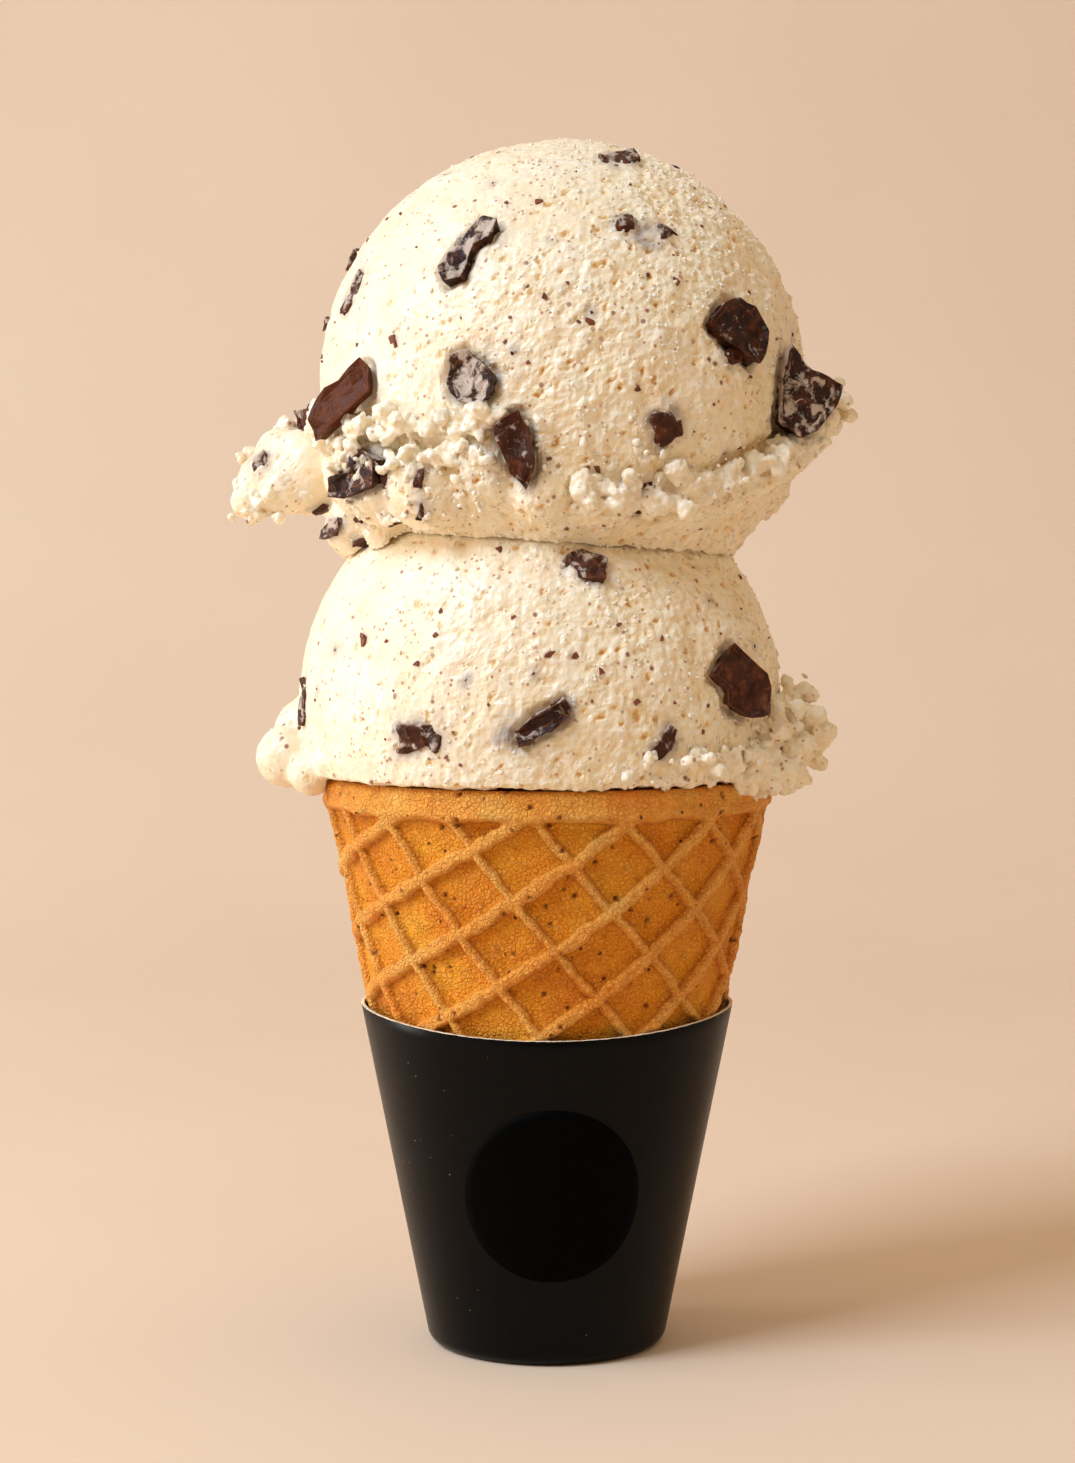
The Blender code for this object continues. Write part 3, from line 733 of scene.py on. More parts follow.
def press_wafer(mesh):
    """Presses the pockets, crimps the ridge and lets the lap step down."""
    places = coordinates(mesh)
    radius = np.hypot(places[:, 0], places[:, 1])
    crest = wafer_radius(places[:, 2])
    outside = (radius > crest - WAFER * 0.5) & (places[:, 2] > SHOWN_FROM - 0.1 * MM)
    shown = places[outside]
    z = shown[:, 2]
    rib, bearing = rib_heights(shown)
    wave = lumps(shown * (1, 1, 0.2), 4.5 * MM, 5) * 0.55 * MM
    wave += lumps(shown, 1.6 * MM, 6) * 0.25 * MM
    over_ridge = (z - RIDGE_Z - wave) / MM
    below = smooth_step((-0.3 - over_ridge) / 0.9)
    ridge = np.exp(-((over_ridge / 0.75) ** 2))
    height = 1.0 - below * (1.0 - rib)
    pock = cells(shown, 2.3 * MM, 7)[:, 0]
    rare = smooth_step((lumps(shown, 6 * MM, 8) + 0.15) / 0.3)
    pore = (1.0 - smooth_step((pock - 0.10) / 0.10)) * rare
    crown = np.exp(-((z - CONE_RIM_Z) / (1.2 * MM)) ** 2)
    depth = POCKET_DEPTH * (1.0 - height)
    depth -= ridge * 0.42 * MM * (1.0 + 0.5 * lumps(shown, 2.2 * MM, 9))
    fine = lumps(shown, 0.9 * MM, 11) * 0.20 * MM * (0.4 + 0.6 * rib)
    depth -= lumps(shown, 2.1 * MM, 10) * 0.14 * MM + fine
    depth += pore * 0.40 * MM + crown * (0.5 + lumps(shown, 3 * MM, 12)) * 0.3 * MM
    past = (bearing - LAP_BEARING) % 360.0
    edge_fade = smooth_step((past - 0.2) / 0.8)
    depth += LAP_STEP * (1.0 - smooth_step(past / LAP_FADE)) * edge_fade
    scale = (radius[outside] - np.maximum(depth, -0.42 * MM) / math.cos(TILT)) / radius[outside]
    places[outside, 0] *= scale
    places[outside, 1] *= scale
    move_vertices(mesh, places)
    # The `rib` value paints light on crests and on the crimped ridge, and shade on the floors.
    paleness = np.maximum(height * below + 0.7 * (1.0 - below), ridge * 0.9)
    for name, values in (("rib", paleness), ("pore", pore)):
        everywhere = np.zeros(len(places))
        everywhere[outside] = values
        paint(mesh, name, everywhere)
    print(f"pressed {outside.sum()} vertices, deepest {depth.max() / MM:.2f} mm")


def split_columns(bm):
    """Splits the columns that show, and puts the new vertices back on the round."""
    flat = [edge for edge in bm.edges if abs(edge.verts[0].co.z - edge.verts[1].co.z) < 1e-6]
    radii = [[vertex.co.xy.length for vertex in edge.verts] for edge in flat]
    rings = [edge for edge, (start, stop) in zip(flat, radii) if abs(start - stop) < 1e-6]
    bmesh.ops.subdivide_edges(bm, edges=rings, cuts=COLUMN_CUTS, use_grid_fill=True)
    half = math.pi / WAFER_COLUMNS
    for vertex in bm.verts:
        radius = vertex.co.xy.length
        if radius < 0.1 * MM:
            continue
        column = math.atan2(vertex.co.x, -vertex.co.y) - math.radians(LAP_BEARING)
        within = column % (2.0 * half) - half
        vertex.co.xy *= math.cos(within) / math.cos(half)


bm = spin_profile(wafer_profile(), WAFER_COLUMNS, start=LAP_BEARING)
split_columns(bm)
waffle_cone = make_piece("waffle_cone", bm, baked_wafer, ["cone"])
press_wafer(waffle_cone.data)

# %% [markdown]
# ## Chocolate pieces
# The CAD model already has each large piece in its place. A copy of its mesh is welded and cut into
# triangles of about two millimetres, whose corners are pushed in and out, because chocolate snaps into flat
# facets. Then every sharp crease gets a narrow bevel. The bevel's own faces are marked as `edge`. Broken
# facets want flat shading: smooth shading would make them look melted.

# %% Detail the large pieces
FROST = {
    "chunk_upper_long": 0.50,
    "chunk_upper_frosted": 0.50,
    "chunk_upper_lip": 0.52,
    "chunk_upper_cluster": 0.44,
    "chunk_upper_right": 0.43,
    "chunk_upper_shard": 0.10,
    "chunk_lower_star": 0.30,
}
# Pieces painted a lighter brown all over; on the shard, the largest value, this is painted light.
WARMTH = {
    "chunk_upper_shard": 0.45,
    "chunk_upper_side": 0.3,
    "chunk_upper_diamond": 0.15,
    "chunk_lower_star": 0.12,
}
USUAL_FROST = 0.42
FACET = 2.1 * MM
CREASE_WIDTH = 0.13 * MM
CREASE_ANGLE = math.radians(26)


def snapped(bm, facet, bevel_width, seed):
    """Breaks a block into facets and bevels every crease, which it marks."""
    layer = bm.faces.layers.float.get("edge") or bm.faces.layers.float.new("edge")
    bmesh.ops.remove_doubles(bm, verts=bm.verts, dist=1e-6)
    bmesh.ops.recalc_face_normals(bm, faces=bm.faces)
    bmesh.ops.dissolve_limit(bm, angle_limit=math.radians(4), verts=bm.verts, edges=bm.edges)
    bmesh.ops.triangulate(bm, faces=bm.faces)
    for _ in range(2):
        long = [edge for edge in bm.edges if edge.calc_length() > facet]
        bmesh.ops.subdivide_edges(bm, edges=long, cuts=1)
        bmesh.ops.triangulate(bm, faces=bm.faces)
    bm.normal_update()
    for vertex in bm.verts:
        place = vertex.co / facet + Vector((seed * 3.1, 0.0, 0.0))
        vertex.co += vertex.normal * (0.44 * noise.noise(place * 1.3) - 0.03) * facet * 0.75
    creased = [edge for edge in bm.edges if edge.calc_face_angle(0.0) > CREASE_ANGLE]
    made = bmesh.ops.bevel(
        bm, geom=creased, offset=bevel_width, segments=1, profile=0.5, affect="EDGES", material=-1
    )
    for face in made["faces"]:
        face[layer] = 1.0


def add_frost(piece, amount, warmth=0.0):
    """Paints how much frost a piece may show, more on faces towards the key lamp as painted light, and how
    much lighter brown the whole piece is painted.
    """
    outward = normals(piece.data)
    # Painted light: frost is heavier on faces that look up and to the left, towards the key lamp.
    lit = np.clip(0.80 + 0.20 * outward[:, 2] - 0.15 * outward[:, 0], 0.0, 1.1)
    paint(piece.data, "frost", amount * lit)
    paint(piece.data, "warmth", np.full(len(outward), warmth))


chunks = []
for seed, node in enumerate(sorted(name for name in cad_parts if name.startswith("chunk_"))):
    bm = bmesh.new()
    bm.from_mesh(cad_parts[node].data)
    snapped(bm, FACET, CREASE_WIDTH, seed)
    piece = make_piece(node.replace("chunk", "chocolate"), bm, dark_chocolate, [node])
    piece.data.shade_flat()
    add_frost(piece, FROST.get(node, USUAL_FROST), WARMTH.get(node, 0.0))
    chunks.append(piece)
print(len(chunks), "chocolate pieces with", sum(len(c.data.polygons) for c in chunks), "faces")

# %% [markdown]
# ## How far away the chocolate is
# Ice cream shrinks back from cold chocolate, so the skin must know how far away the chocolate is. A BVH
# tree sorts the faces into boxes, which makes the search for the nearest face fast.

# %% Distances to chocolate
def surface_tree(pieces):
    """A search tree over the faces of several pieces."""
    corners = []
    faces = []
    for piece in pieces:
        first = len(corners)
        corners += coordinates(piece.data).tolist()
        faces += [[first + index for index in face.vertices] for face in piece.data.polygons]
    return BVHTree.FromPolygons(corners, faces)


def distances(tree, places, reach):
    """Each place's distance to the nearest face, or the reach where that is farther."""
    found = [tree.find_nearest(place, reach)[3] for place in places.tolist()]
    return np.array([reach if away is None else away for away in found])


chunk_tree = surface_tree(chunks)
print("search tree over", len(chunks), "pieces")

# %% [markdown]
# ## Balls and ledges of ice cream
# A disher makes a ball, and squeezes some of the ice cream out round the ball's foot as torn ledges. The
# way to build that is to drop many overlapping spheres, then let a Remesh modifier draw one skin over
# them. The lip on the right has a smooth underside, so it is swept: a chain of small cross-sections that
# `bridge_loops` joins.

# %% Shapes that a scoop is made of
unit_balls = {}


def unit_ball(subdivisions):
    """A ball of radius 1, which is made once and copied for every ball."""
    if subdivisions not in unit_balls:
        bm = bmesh.new()
        bmesh.ops.create_icosphere(bm, subdivisions=subdivisions, radius=1.0)
        unit_balls[subdivisions] = bpy.data.meshes.new("unit_ball")
        bm.to_mesh(unit_balls[subdivisions])
        bm.free()
    return unit_balls[subdivisions]


def add_ball(bm, centre, radius, subdivisions=3):
    """Adds a sphere to a bmesh."""
    ball = unit_ball(subdivisions).copy()
    ball.transform(Matrix.Translation(centre) @ Matrix.Scale(radius, 4))
    bm.from_mesh(ball)
    bpy.data.meshes.remove(ball)


def add_lumps(bm, table):
    """Adds one ball for each row of bearing, distance, z and radius, in degrees and mm."""
    for bearing, distance, z, radius in table:
        add_ball(bm, round_the_axis(bearing, distance * MM, z * MM), radius * MM)


def add_lip(bm, stations):
    """Sweeps the rising lip. A station is a bearing, its edge's distance and z, and its thickness."""
    loops = []
    for bearing, edge_r, edge_z, thickness in stations:
        section = (
            (17.0, 112.3),
            (25.0, 112.3),
            (edge_r, edge_z - thickness * 0.5),
            (edge_r - thickness * 0.25, edge_z + thickness * 0.5),
            (29.0, edge_z + 0.6),
            (17.0, edge_z),
        )
        points = [bm.verts.new(round_the_axis(bearing, r * MM, z * MM)) for r, z in section]
        loops.append([bm.edges.new((a, b)) for a, b in zip(points, points[1:] + points[:1])])
    for first, second in zip(loops, loops[1:]):
        bmesh.ops.bridge_loops(bm, edges=first + second)
    for end in (loops[0], loops[-1]):
        bmesh.ops.contextual_create(bm, geom=end)


print("scoop helpers ready")

# %% [markdown]
# ## Tables for the two scoops
# These rows place the lumps one by one, as a sculptor adds clay: the drooping flap on the upper scoop's
# left, the torn ledge across its front, the rising lip on its right, and the rounder ledges round the back.
# Every row is a bearing in degrees, then a distance, a height and a radius in millimetres.

# %% Lumps and the lip
UPPER_LUMPS = (
    (-88, 27, 124, 8.3),
    (-86, 33, 122.5, 6.4),
    (-87, 36.5, 124.2, 4.4),
    (-85, 38.6, 121.0, 4.4),
    (-84, 41.4, 118.2, 2.6),
    (-82, 37, 119.6, 3.6),
    (-62, 26, 122.5, 7.6),
    (-50, 28.3, 121, 6.4),
    (-34, 27.8, 120, 6.2),
    (-17, 26.6, 122.6, 6.0),
    (-2, 27.5, 119.5, 4.8),
    (14, 27.3, 118.5, 4.4),
    (-98, 27, 114.5, 4.6),
    (-76, 27, 115, 4.4),
    (-60, 24.5, 114.5, 4.0),
    (104, 30, 121, 5.6),
    (132, 27.4, 121.5, 7.0),
    (160, 27.6, 119.5, 6.4),
    (-158, 27.6, 120.5, 6.8),
    (-130, 27.6, 121, 6.2),
    (-112, 29, 120, 6.0),
)
UPPER_LIP = (
    (14, 27.0, 114.0, 2.0),
    (28, 29.2, 115.6, 2.4),
    (42, 32.6, 118.2, 2.8),
    (56, 35.8, 121.4, 3.0),
    (68, 38.2, 124.8, 3.2),
    (78, 40.0, 128.2, 3.2),
    (87, 40.4, 131.0, 3.0),
    (98, 39.6, 130.6, 3.2),
    (112, 36.0, 127.0, 3.4),
    (128, 32.0, 122.0, 3.6),
)
LIP_GROOVE = (
    (24, 30.8, 119.0),
    (42, 32.8, 122.0),
    (58, 34.4, 125.4),
    (74, 35.4, 129.0),
    (90, 35.6, 132.4),
    (104, 34.6, 131.4),
)
LOWER_LUMPS = (
    (-88, 33, 86, 5.2),
    (-83, 36.3, 82.8, 4.4),
    (-76, 33.5, 80.8, 3.2),
    (-95, 33.5, 82.4, 4.0),
    (-66, 31.0, 83.4, 3.4),
    (64, 30.6, 83.5, 4.0),
    (76, 32.0, 85, 4.8),
    (84, 34.4, 87.0, 3.8),
    (90, 33.0, 82.4, 3.8),
    (140, 30.8, 83.6, 4.2),
    (-140, 30.4, 84, 4.4),
    (-172, 30.8, 83.4, 3.8),
)
print(len(UPPER_LUMPS) + len(LOWER_LUMPS), "lumps placed by hand")

# %% [markdown]
# ## Tearing the skin
# The Remesh skin is too smooth. A fine texture is pushed into its vertices: broad waves from the disher's
# pull, granules with creases between them, and scattered pits. The scoop's upper left was pressed smooth by
# the disher's bowl and its right and foot are crumbly, so a mask weakens the texture on one side. The skin
# also shrinks back from the chocolate. A mix of the same heights is stored as `relief`, for the colours:
# pits, the groove and the hollows round the chocolate are painted darker as painted shade, and the crests
# lighter as painted light.

# %% Texture for a scoop
def crumbliness(places, centre):
    """How torn the skin is: little on the upper left, much on the right and round the foot."""
    across = (places[:, 0] - centre.x - 0.45 * (places[:, 2] - centre.z)) / MM
    patches = 8.0 * lumps(places, 11 * MM, 21)
    torn = smooth_step((across + patches + 31.0) / 36.0)
    behind = smooth_step((places[:, 1] / MM - 4.0) / 12.0) * 0.75
    return np.clip(0.16 + 0.84 * np.maximum(torn, behind), 0.0, 1.0)


def along(path, share):
    """The bearing, distance and z at a share of the way along a path of such rows."""
    step = share * (len(path) - 1)
    first = min(int(step), len(path) - 2)
    return [a + (b - a) * (step - first) for a, b in zip(path[first], path[first + 1])]


def groove_depth(places, path):
    """How deep, in mm, a groove along a path of bearing, distance and z is at each place."""
    depth = np.zeros(len(places))
    for k in range(61):
        bearing, distance, z = along(path, k / 60)
        point = np.array(round_the_axis(bearing, distance * MM, z * MM))
        away = np.sqrt(((places - point) ** 2).sum(axis=1)) / MM
        fade = math.sin(math.pi * k / 60) ** 0.5
        depth = np.maximum(depth, 0.8 * fade * np.exp(-((away / 1.1) ** 2)))
    return depth


def tear_skin(mesh, centre, strength=1.0, groove_path=None):
    """Pushes the waves, granules and pits into the skin and paints its relief."""
    places = coordinates(mesh)
    groove = groove_depth(places, groove_path) if groove_path else 0.0
    outward = normals(mesh)
    torn = crumbliness(places, centre)
    shifts = [lumps(places, 1.4 * MM, 40 + axis) for axis in range(3)]
    wobble = np.column_stack(shifts) * 0.5 * MM
    near = cells(places + wobble, 1.5 * MM, 22)
    granules = smooth_step((near[:, 1] - near[:, 0]) / 0.45) - 0.6
    patch = smooth_step((lumps(places, 4.2 * MM, 27) + 0.30) / 0.5)
    grit = lumps(places, 0.95 * MM, 23)
    waves = lumps(places, 8 * MM, 24) * 0.34 + lumps(places, 3.0 * MM, 25) * 0.42
    hole = cells(places + wobble, 2.5 * MM, 26)[:, 0]
    pits = (1.0 - smooth_step((hole - 0.08) / 0.16)) * (0.35 + 0.65 * torn)
    height = waves * (0.4 + 0.6 * torn) + torn * (0.16 * granules * patch + 0.26 * grit) + 0.05 * grit
    height -= 0.60 * pits + groove
    shrink = 1.0 - smooth_step(distances(chunk_tree, places, 1.3 * MM) / (1.3 * MM))
    height -= 0.85 * shrink
    move_vertices(mesh, places + outward * (height * strength * MM)[:, None])
    # Painted shade and light: `relief` is lower, so darker, in pits, the groove and round the chocolate,
    # and higher on crests.
    detail = 0.20 * granules * torn * patch + 0.32 * grit * (0.3 + 0.7 * torn) + 0.22 * waves
    detail -= 0.7 * pits + 0.4 * groove + 0.15 * shrink
    paint(mesh, "relief", np.clip(0.68 + 1.05 * detail, 0.0, 1.0))
    print(f"{mesh.name}: {len(places)} vertices, heights {height.min():.2f} to {height.max():.2f} mm")


def skin_over(name, bm, replaced, voxel):
    """Draws one skin over the overlapping balls."""
    scoop = make_piece(name, bm, ice_cream, [replaced])
    skin = scoop.modifiers.new("one skin", "REMESH")
    skin.mode = "VOXEL"
    skin.voxel_size = voxel
    soften = scoop.modifiers.new("soften", "SMOOTH")
    soften.factor = 0.5
    soften.iterations = 5
    freeze(scoop)
    return scoop


def cut_away(piece, bm):
    """Cuts a solid shape out of a piece."""
    mesh = bpy.data.meshes.new("cutter")
    bm.to_mesh(mesh)
    bm.free()
    cutter = bpy.data.objects.new("cutter", mesh)
    bpy.context.scene.collection.objects.link(cutter)
    step = piece.modifiers.new("cut", "BOOLEAN")
    step.operation = "DIFFERENCE"
    step.solver = "MANIFOLD"
    step.object = cutter
    freeze(piece)
    bpy.data.objects.remove(cutter, do_unlink=True)


print("texture ready")

# %% [markdown]
# ## The lower scoop
# The ball's foot is cut flat where it stands on the rim, and only the lumps hang over. The cone is cut out
# of them, so that they hug the wafer. The bead round its foot is a ring of balls that the Remesh skin melts
# together.

# %% Build the lower scoop
BEAD_BALLS = 48
BEAD_DISTANCE = 30.1 * MM
BEAD_Z = 83.0 * MM

bm = bmesh.new()
add_ball(bm, LOWER_CENTRE, LOWER_RADIUS, 6)
foot = Vector((0.0, 0.0, CONE_RIM_Z + 0.4 * MM))
everything = bm.verts[:] + bm.edges[:] + bm.faces[:]
bmesh.ops.bisect_plane(bm, geom=everything, plane_co=foot, plane_no=(0, 0, -1), clear_outer=True)
bmesh.ops.holes_fill(bm, edges=[edge for edge in bm.edges if edge.is_boundary], sides=0)
add_lumps(bm, LOWER_LUMPS)
for k in range(BEAD_BALLS):
    place = round_the_axis(360.0 / BEAD_BALLS * k, BEAD_DISTANCE, BEAD_Z)
    add_ball(bm, place, (2.9 + 0.25 * math.sin(k * 1.7)) * MM)
scoop_lower = skin_over("scoop_lower", bm, "lower_scoop", 0.45 * MM)

solid_cone = [
    (0.0, 20 * MM),
    (wafer_radius(20 * MM) + GAP, 20 * MM),
    (wafer_radius(RIDGE_Z) + 1.5 * GAP, RIDGE_Z),
    (wafer_radius(CONE_RIM_Z) + GAP, CONE_RIM_Z + 0.15 * MM),
    (0.0, CONE_RIM_Z + 0.15 * MM),
]
cut_away(scoop_lower, spin_profile(solid_cone, 180))
tear_skin(scoop_lower.data, LOWER_CENTRE, 0.85)

# %% [markdown]
# ## The upper scoop
# The upper scoop sits on the lower one. Its underside is hollowed by the lower ball, so the two meet in a
# thin dark seam and not in a bulge.

# %% Build the upper scoop
bm = bmesh.new()
add_ball(bm, UPPER_CENTRE, UPPER_RADIUS, 6)
add_lumps(bm, UPPER_LUMPS)
add_lip(bm, UPPER_LIP)
scoop_upper = skin_over("scoop_upper", bm, "upper_scoop", 0.48 * MM)

bm = bmesh.new()
add_ball(bm, LOWER_CENTRE, LOWER_RADIUS + 0.35 * MM, 6)
cut_away(scoop_upper, bm)
tear_skin(scoop_upper.data, UPPER_CENTRE, 1.0, LIP_GROOVE)

# %% [markdown]
# ## Many copies of one small shape
# Crumbs and grains come in thousands. Moving a template once for each matrix with numpy, and writing all
# the copies into one mesh, takes a blink where thousands of objects would take minutes.

# %% Copy a template
def copies(template, matrices):
    """One mesh with a copy of a closed triangle mesh for every matrix."""
    shape = coordinates(template)
    places = np.array(matrices)
    corners = np.empty(len(template.loops), dtype=np.int32)
    template.loops.foreach_get("vertex_index", corners)
    moved = np.einsum("kij,nj->kni", places[:, :3, :3], shape) + places[:, None, :3, 3]
    faces = corners[None, :] + (np.arange(len(places), dtype=np.int32) * len(shape))[:, None]
    mesh = bpy.data.meshes.new("copies")
    mesh.vertices.add(len(places) * len(shape))
    mesh.vertices.foreach_set("co", moved.astype(np.float32).ravel())
    mesh.loops.add(faces.size)
    mesh.loops.foreach_set("vertex_index", faces.ravel())
    mesh.polygons.add(faces.size // 3)
    mesh.polygons.foreach_set("loop_start", np.arange(0, faces.size, 3, dtype=np.int32))
    mesh.update(calc_edges=True)
    return mesh


def random_place(rng, place, radius, flatness=0.6):
    """A matrix that puts a squashed, turned ball at a place."""
    axis = Vector((rng.gauss(0, 1), rng.gauss(0, 1), rng.gauss(0, 1))).normalized()
    turn = Matrix.Rotation(rng.uniform(0, math.tau), 4, axis)
    sides = [radius * rng.uniform(flatness, 1.25) for _ in range(3)]
    return Matrix.Translation(place) @ turn @ Matrix.Diagonal((*sides, 1.0))


print("copying ready")

# %% [markdown]
# ## Torn crumbs
# Along the ledges the ice cream tore into crumbs of one to three millimetres. Each row scatters some of
# them along a path round the scoop. A finer Remesh than the scoop's fuses them into clusters, and noise
# breaks up what is left of the balls.

# %% Scatter the crumbs
CRUMB_VOXEL = 0.30 * MM
# Path of bearing, distance and z; how many; smallest and largest radius; spread in mm
UPPER_CRUMBS = (
    (
        (
            (-92, 31.4, 128.2), (-70, 32.8, 128.4), (-50, 33.2, 127.8),
            (-30, 32.4, 127.6), (-10, 31.4, 128.4),
        ),
        210, 0.5, 1.5, 1.0,
    ),
    (
        ((-64, 33.0, 125), (-48, 33.4, 123.5), (-34, 32.4, 122.6), (-14, 31.6, 123)),
        150, 0.4, 1.3, 1.5,
    ),
    (
        ((-66, 31.0, 118.5), (-44, 31.0, 117), (-14, 30.6, 118)),
        70, 0.4, 1.1, 1.3,
    ),
    (
        ((-92, 33, 128), (-88, 37, 127), (-85, 41.0, 122.4), (-84, 42.6, 117.6)),
        120, 0.5, 1.5, 0.8,
    ),
    (
        ((-80, 34, 121), (-80, 38, 118.6), (-83, 42.0, 115.8)),
        60, 0.5, 1.3, 0.9,
    ),
    (
        ((8, 30.4, 119), (30, 31.0, 118.6), (50, 33.6, 121.2), (70, 37.2, 126.4), (86, 39.4, 131.8)),
        330, 0.5, 1.7, 1.1,
    ),
    (
        ((60, 34.6, 124.6), (76, 36.0, 129), (92, 36.4, 131.8)),
        60, 0.5, 1.4, 0.8,
    ),
    (
        ((86, 40.0, 131.5), (100, 38.4, 131.5), (118, 35, 127)),
        90, 0.5, 1.6, 0.8,
    ),
    (
        ((120, 32.4, 126), (150, 31.8, 124), (178, 31.6, 123), (210, 31.8, 124), (262, 32.4, 126)),
        320, 0.5, 1.7, 1.2,
    ),
    (
        ((-10, 31.6, 127), (6, 31.2, 125.6), (24, 31.2, 123), (44, 32.0, 123)),
        80, 0.3, 0.9, 1.6,
    ),
)
LOWER_CRUMBS = (
    (
        ((58, 31.4, 81.2), (70, 33.4, 82), (80, 35.6, 84.0), (88, 36.8, 87.0)),
        260, 0.6, 1.7, 1.5,
    ),
    (
        ((66, 32.6, 80.4), (82, 33.8, 79.6), (96, 33, 80.6)),
        90, 0.6, 1.5, 0.9,
    ),
    (
        ((62, 32.6, 86), (74, 34.2, 89), (86, 35.6, 91)),
        120, 0.5, 1.5, 1.3,
    ),
    (
        ((12, 31.0, 81.9), (36, 31.4, 81.6), (62, 31.8, 81.0)),
        110, 0.4, 1.0, 0.5,
    ),
    (
        ((24, 32.2, 84), (46, 32.8, 84.4), (64, 33.2, 84.6)),
        90, 0.4, 1.2, 1.2,
    ),
    (
        ((100, 31.2, 82), (140, 31.4, 82.6), (178, 31.4, 82.6), (220, 31.4, 82.6), (250, 31.6, 82.6)),
        260, 0.5, 1.5, 1.0,
    ),
)


def crumb_places(rng, rows):
    """Matrices for the crumbs of a table, more of them small than large."""
    for path, count, smallest, largest, spread in rows:
        for _ in range(count):
            bearing, distance, z = along(path, rng.random())
            offset = Vector([rng.gauss(0, spread) * MM for _ in range(3)])
            radius = (smallest + (largest - smallest) * rng.random() ** 1.6) * MM
            place = round_the_axis(bearing, distance * MM, z * MM) + offset
            yield random_place(rng, place, radius, 0.5)


def make_crumbs(name, rows, seed):
    """Fuses the crumbs of a table into torn clusters and gives them a crumbly skin."""
    mesh = copies(unit_ball(2), list(crumb_places(random.Random(seed), rows)))
    crumbs = add_piece(name, mesh, ice_cream)
    skin = crumbs.modifiers.new("fuse", "REMESH")
    skin.mode = "VOXEL"
    skin.voxel_size = CRUMB_VOXEL
    mesh = freeze(crumbs)
    places = coordinates(mesh)
    near = cells(places, 1.15 * MM, 70)
    crease = smooth_step((near[:, 1] - near[:, 0]) / 0.5) - 0.5
    bumps = lumps(places, 2.0 * MM, 71) * 0.45 + lumps(places, 0.7 * MM, 72) * 0.22
    height = bumps + 0.22 * crease
    move_vertices(mesh, places + normals(mesh) * (height * MM)[:, None])
    mesh.shade_smooth()
    # Painted light: the crumbs start whiter than the scoop's skin, as lit by the key, and their hollows are
    # painted darker as painted shade.
    paint(mesh, "relief", np.clip(0.80 + 0.55 * height, 0.0, 1.0))
    torn_pieces.append(crumbs)
    print(name, len(mesh.polygons), "faces")


torn_pieces = []
make_crumbs("crumbs_upper", UPPER_CRUMBS, 3)
make_crumbs("crumbs_lower", LOWER_CRUMBS, 4)

# %% [markdown]
# ## Frozen grains
# Torn ice cream sparkles because it is full of grains of about half a millimetre. They are scattered over
# the skin by picking its vertices at random, more often where the skin is torn.

# %% Scatter the grains
GRAINS = {"upper": 3600, "lower": 1900}


def grain_places(scoop, centre, count, rng):
    """Matrices for grains on a scoop's skin, denser where it is torn."""
    places = coordinates(scoop.data)
    outward = normals(scoop.data)
    patches = smooth_step((lumps(places, 3.4 * MM, 61) + 0.35) / 0.6)
    weight = crumbliness(places, centre) ** 1.5 * (0.15 + patches)
    weight[distances(chunk_tree, places, 1.2 * MM) < 0.9 * MM] = 0.0
    weight[places[:, 2] < CONE_RIM_Z + MM] = 0.0
    odds = weight / weight.sum()
    picked = np.random.default_rng(5).choice(len(places), size=count, replace=False, p=odds)
    for index in picked:
        radius = rng.uniform(0.16, 0.40) * MM
        spot = places[index] - outward[index] * radius * rng.uniform(-0.3, 0.4)
        yield random_place(rng, Vector(spot), radius, 0.45)


rng = random.Random(9)
matrices = list(grain_places(scoop_upper, UPPER_CENTRE, GRAINS["upper"], rng))
matrices += list(grain_places(scoop_lower, LOWER_CENTRE, GRAINS["lower"], rng))
mesh = copies(unit_ball(1), matrices)
frozen_grains = add_piece("frozen_grains", mesh, ice_cream)
whiteness = np.random.default_rng(6).uniform(0.6, 1.0, len(matrices))
paint(mesh, "relief", np.repeat(whiteness, len(unit_ball(1).vertices)))
torn_pieces.append(frozen_grains)
print("grains:", len(mesh.polygons), "faces")

# %% [markdown]
# ## Small bits of chocolate
# Between the large pieces lie splinters and crumbs of chocolate. Each is a small cube with slanting cuts by
# `bisect_plane`, dropped onto the scoop's surface. The surface is bumpy, so each bit asks Blender where a
# ray from outside meets the ice cream, and sits just there. The first rows are listed one by one, and the
# rest are scattered by chance, more of them small than large.

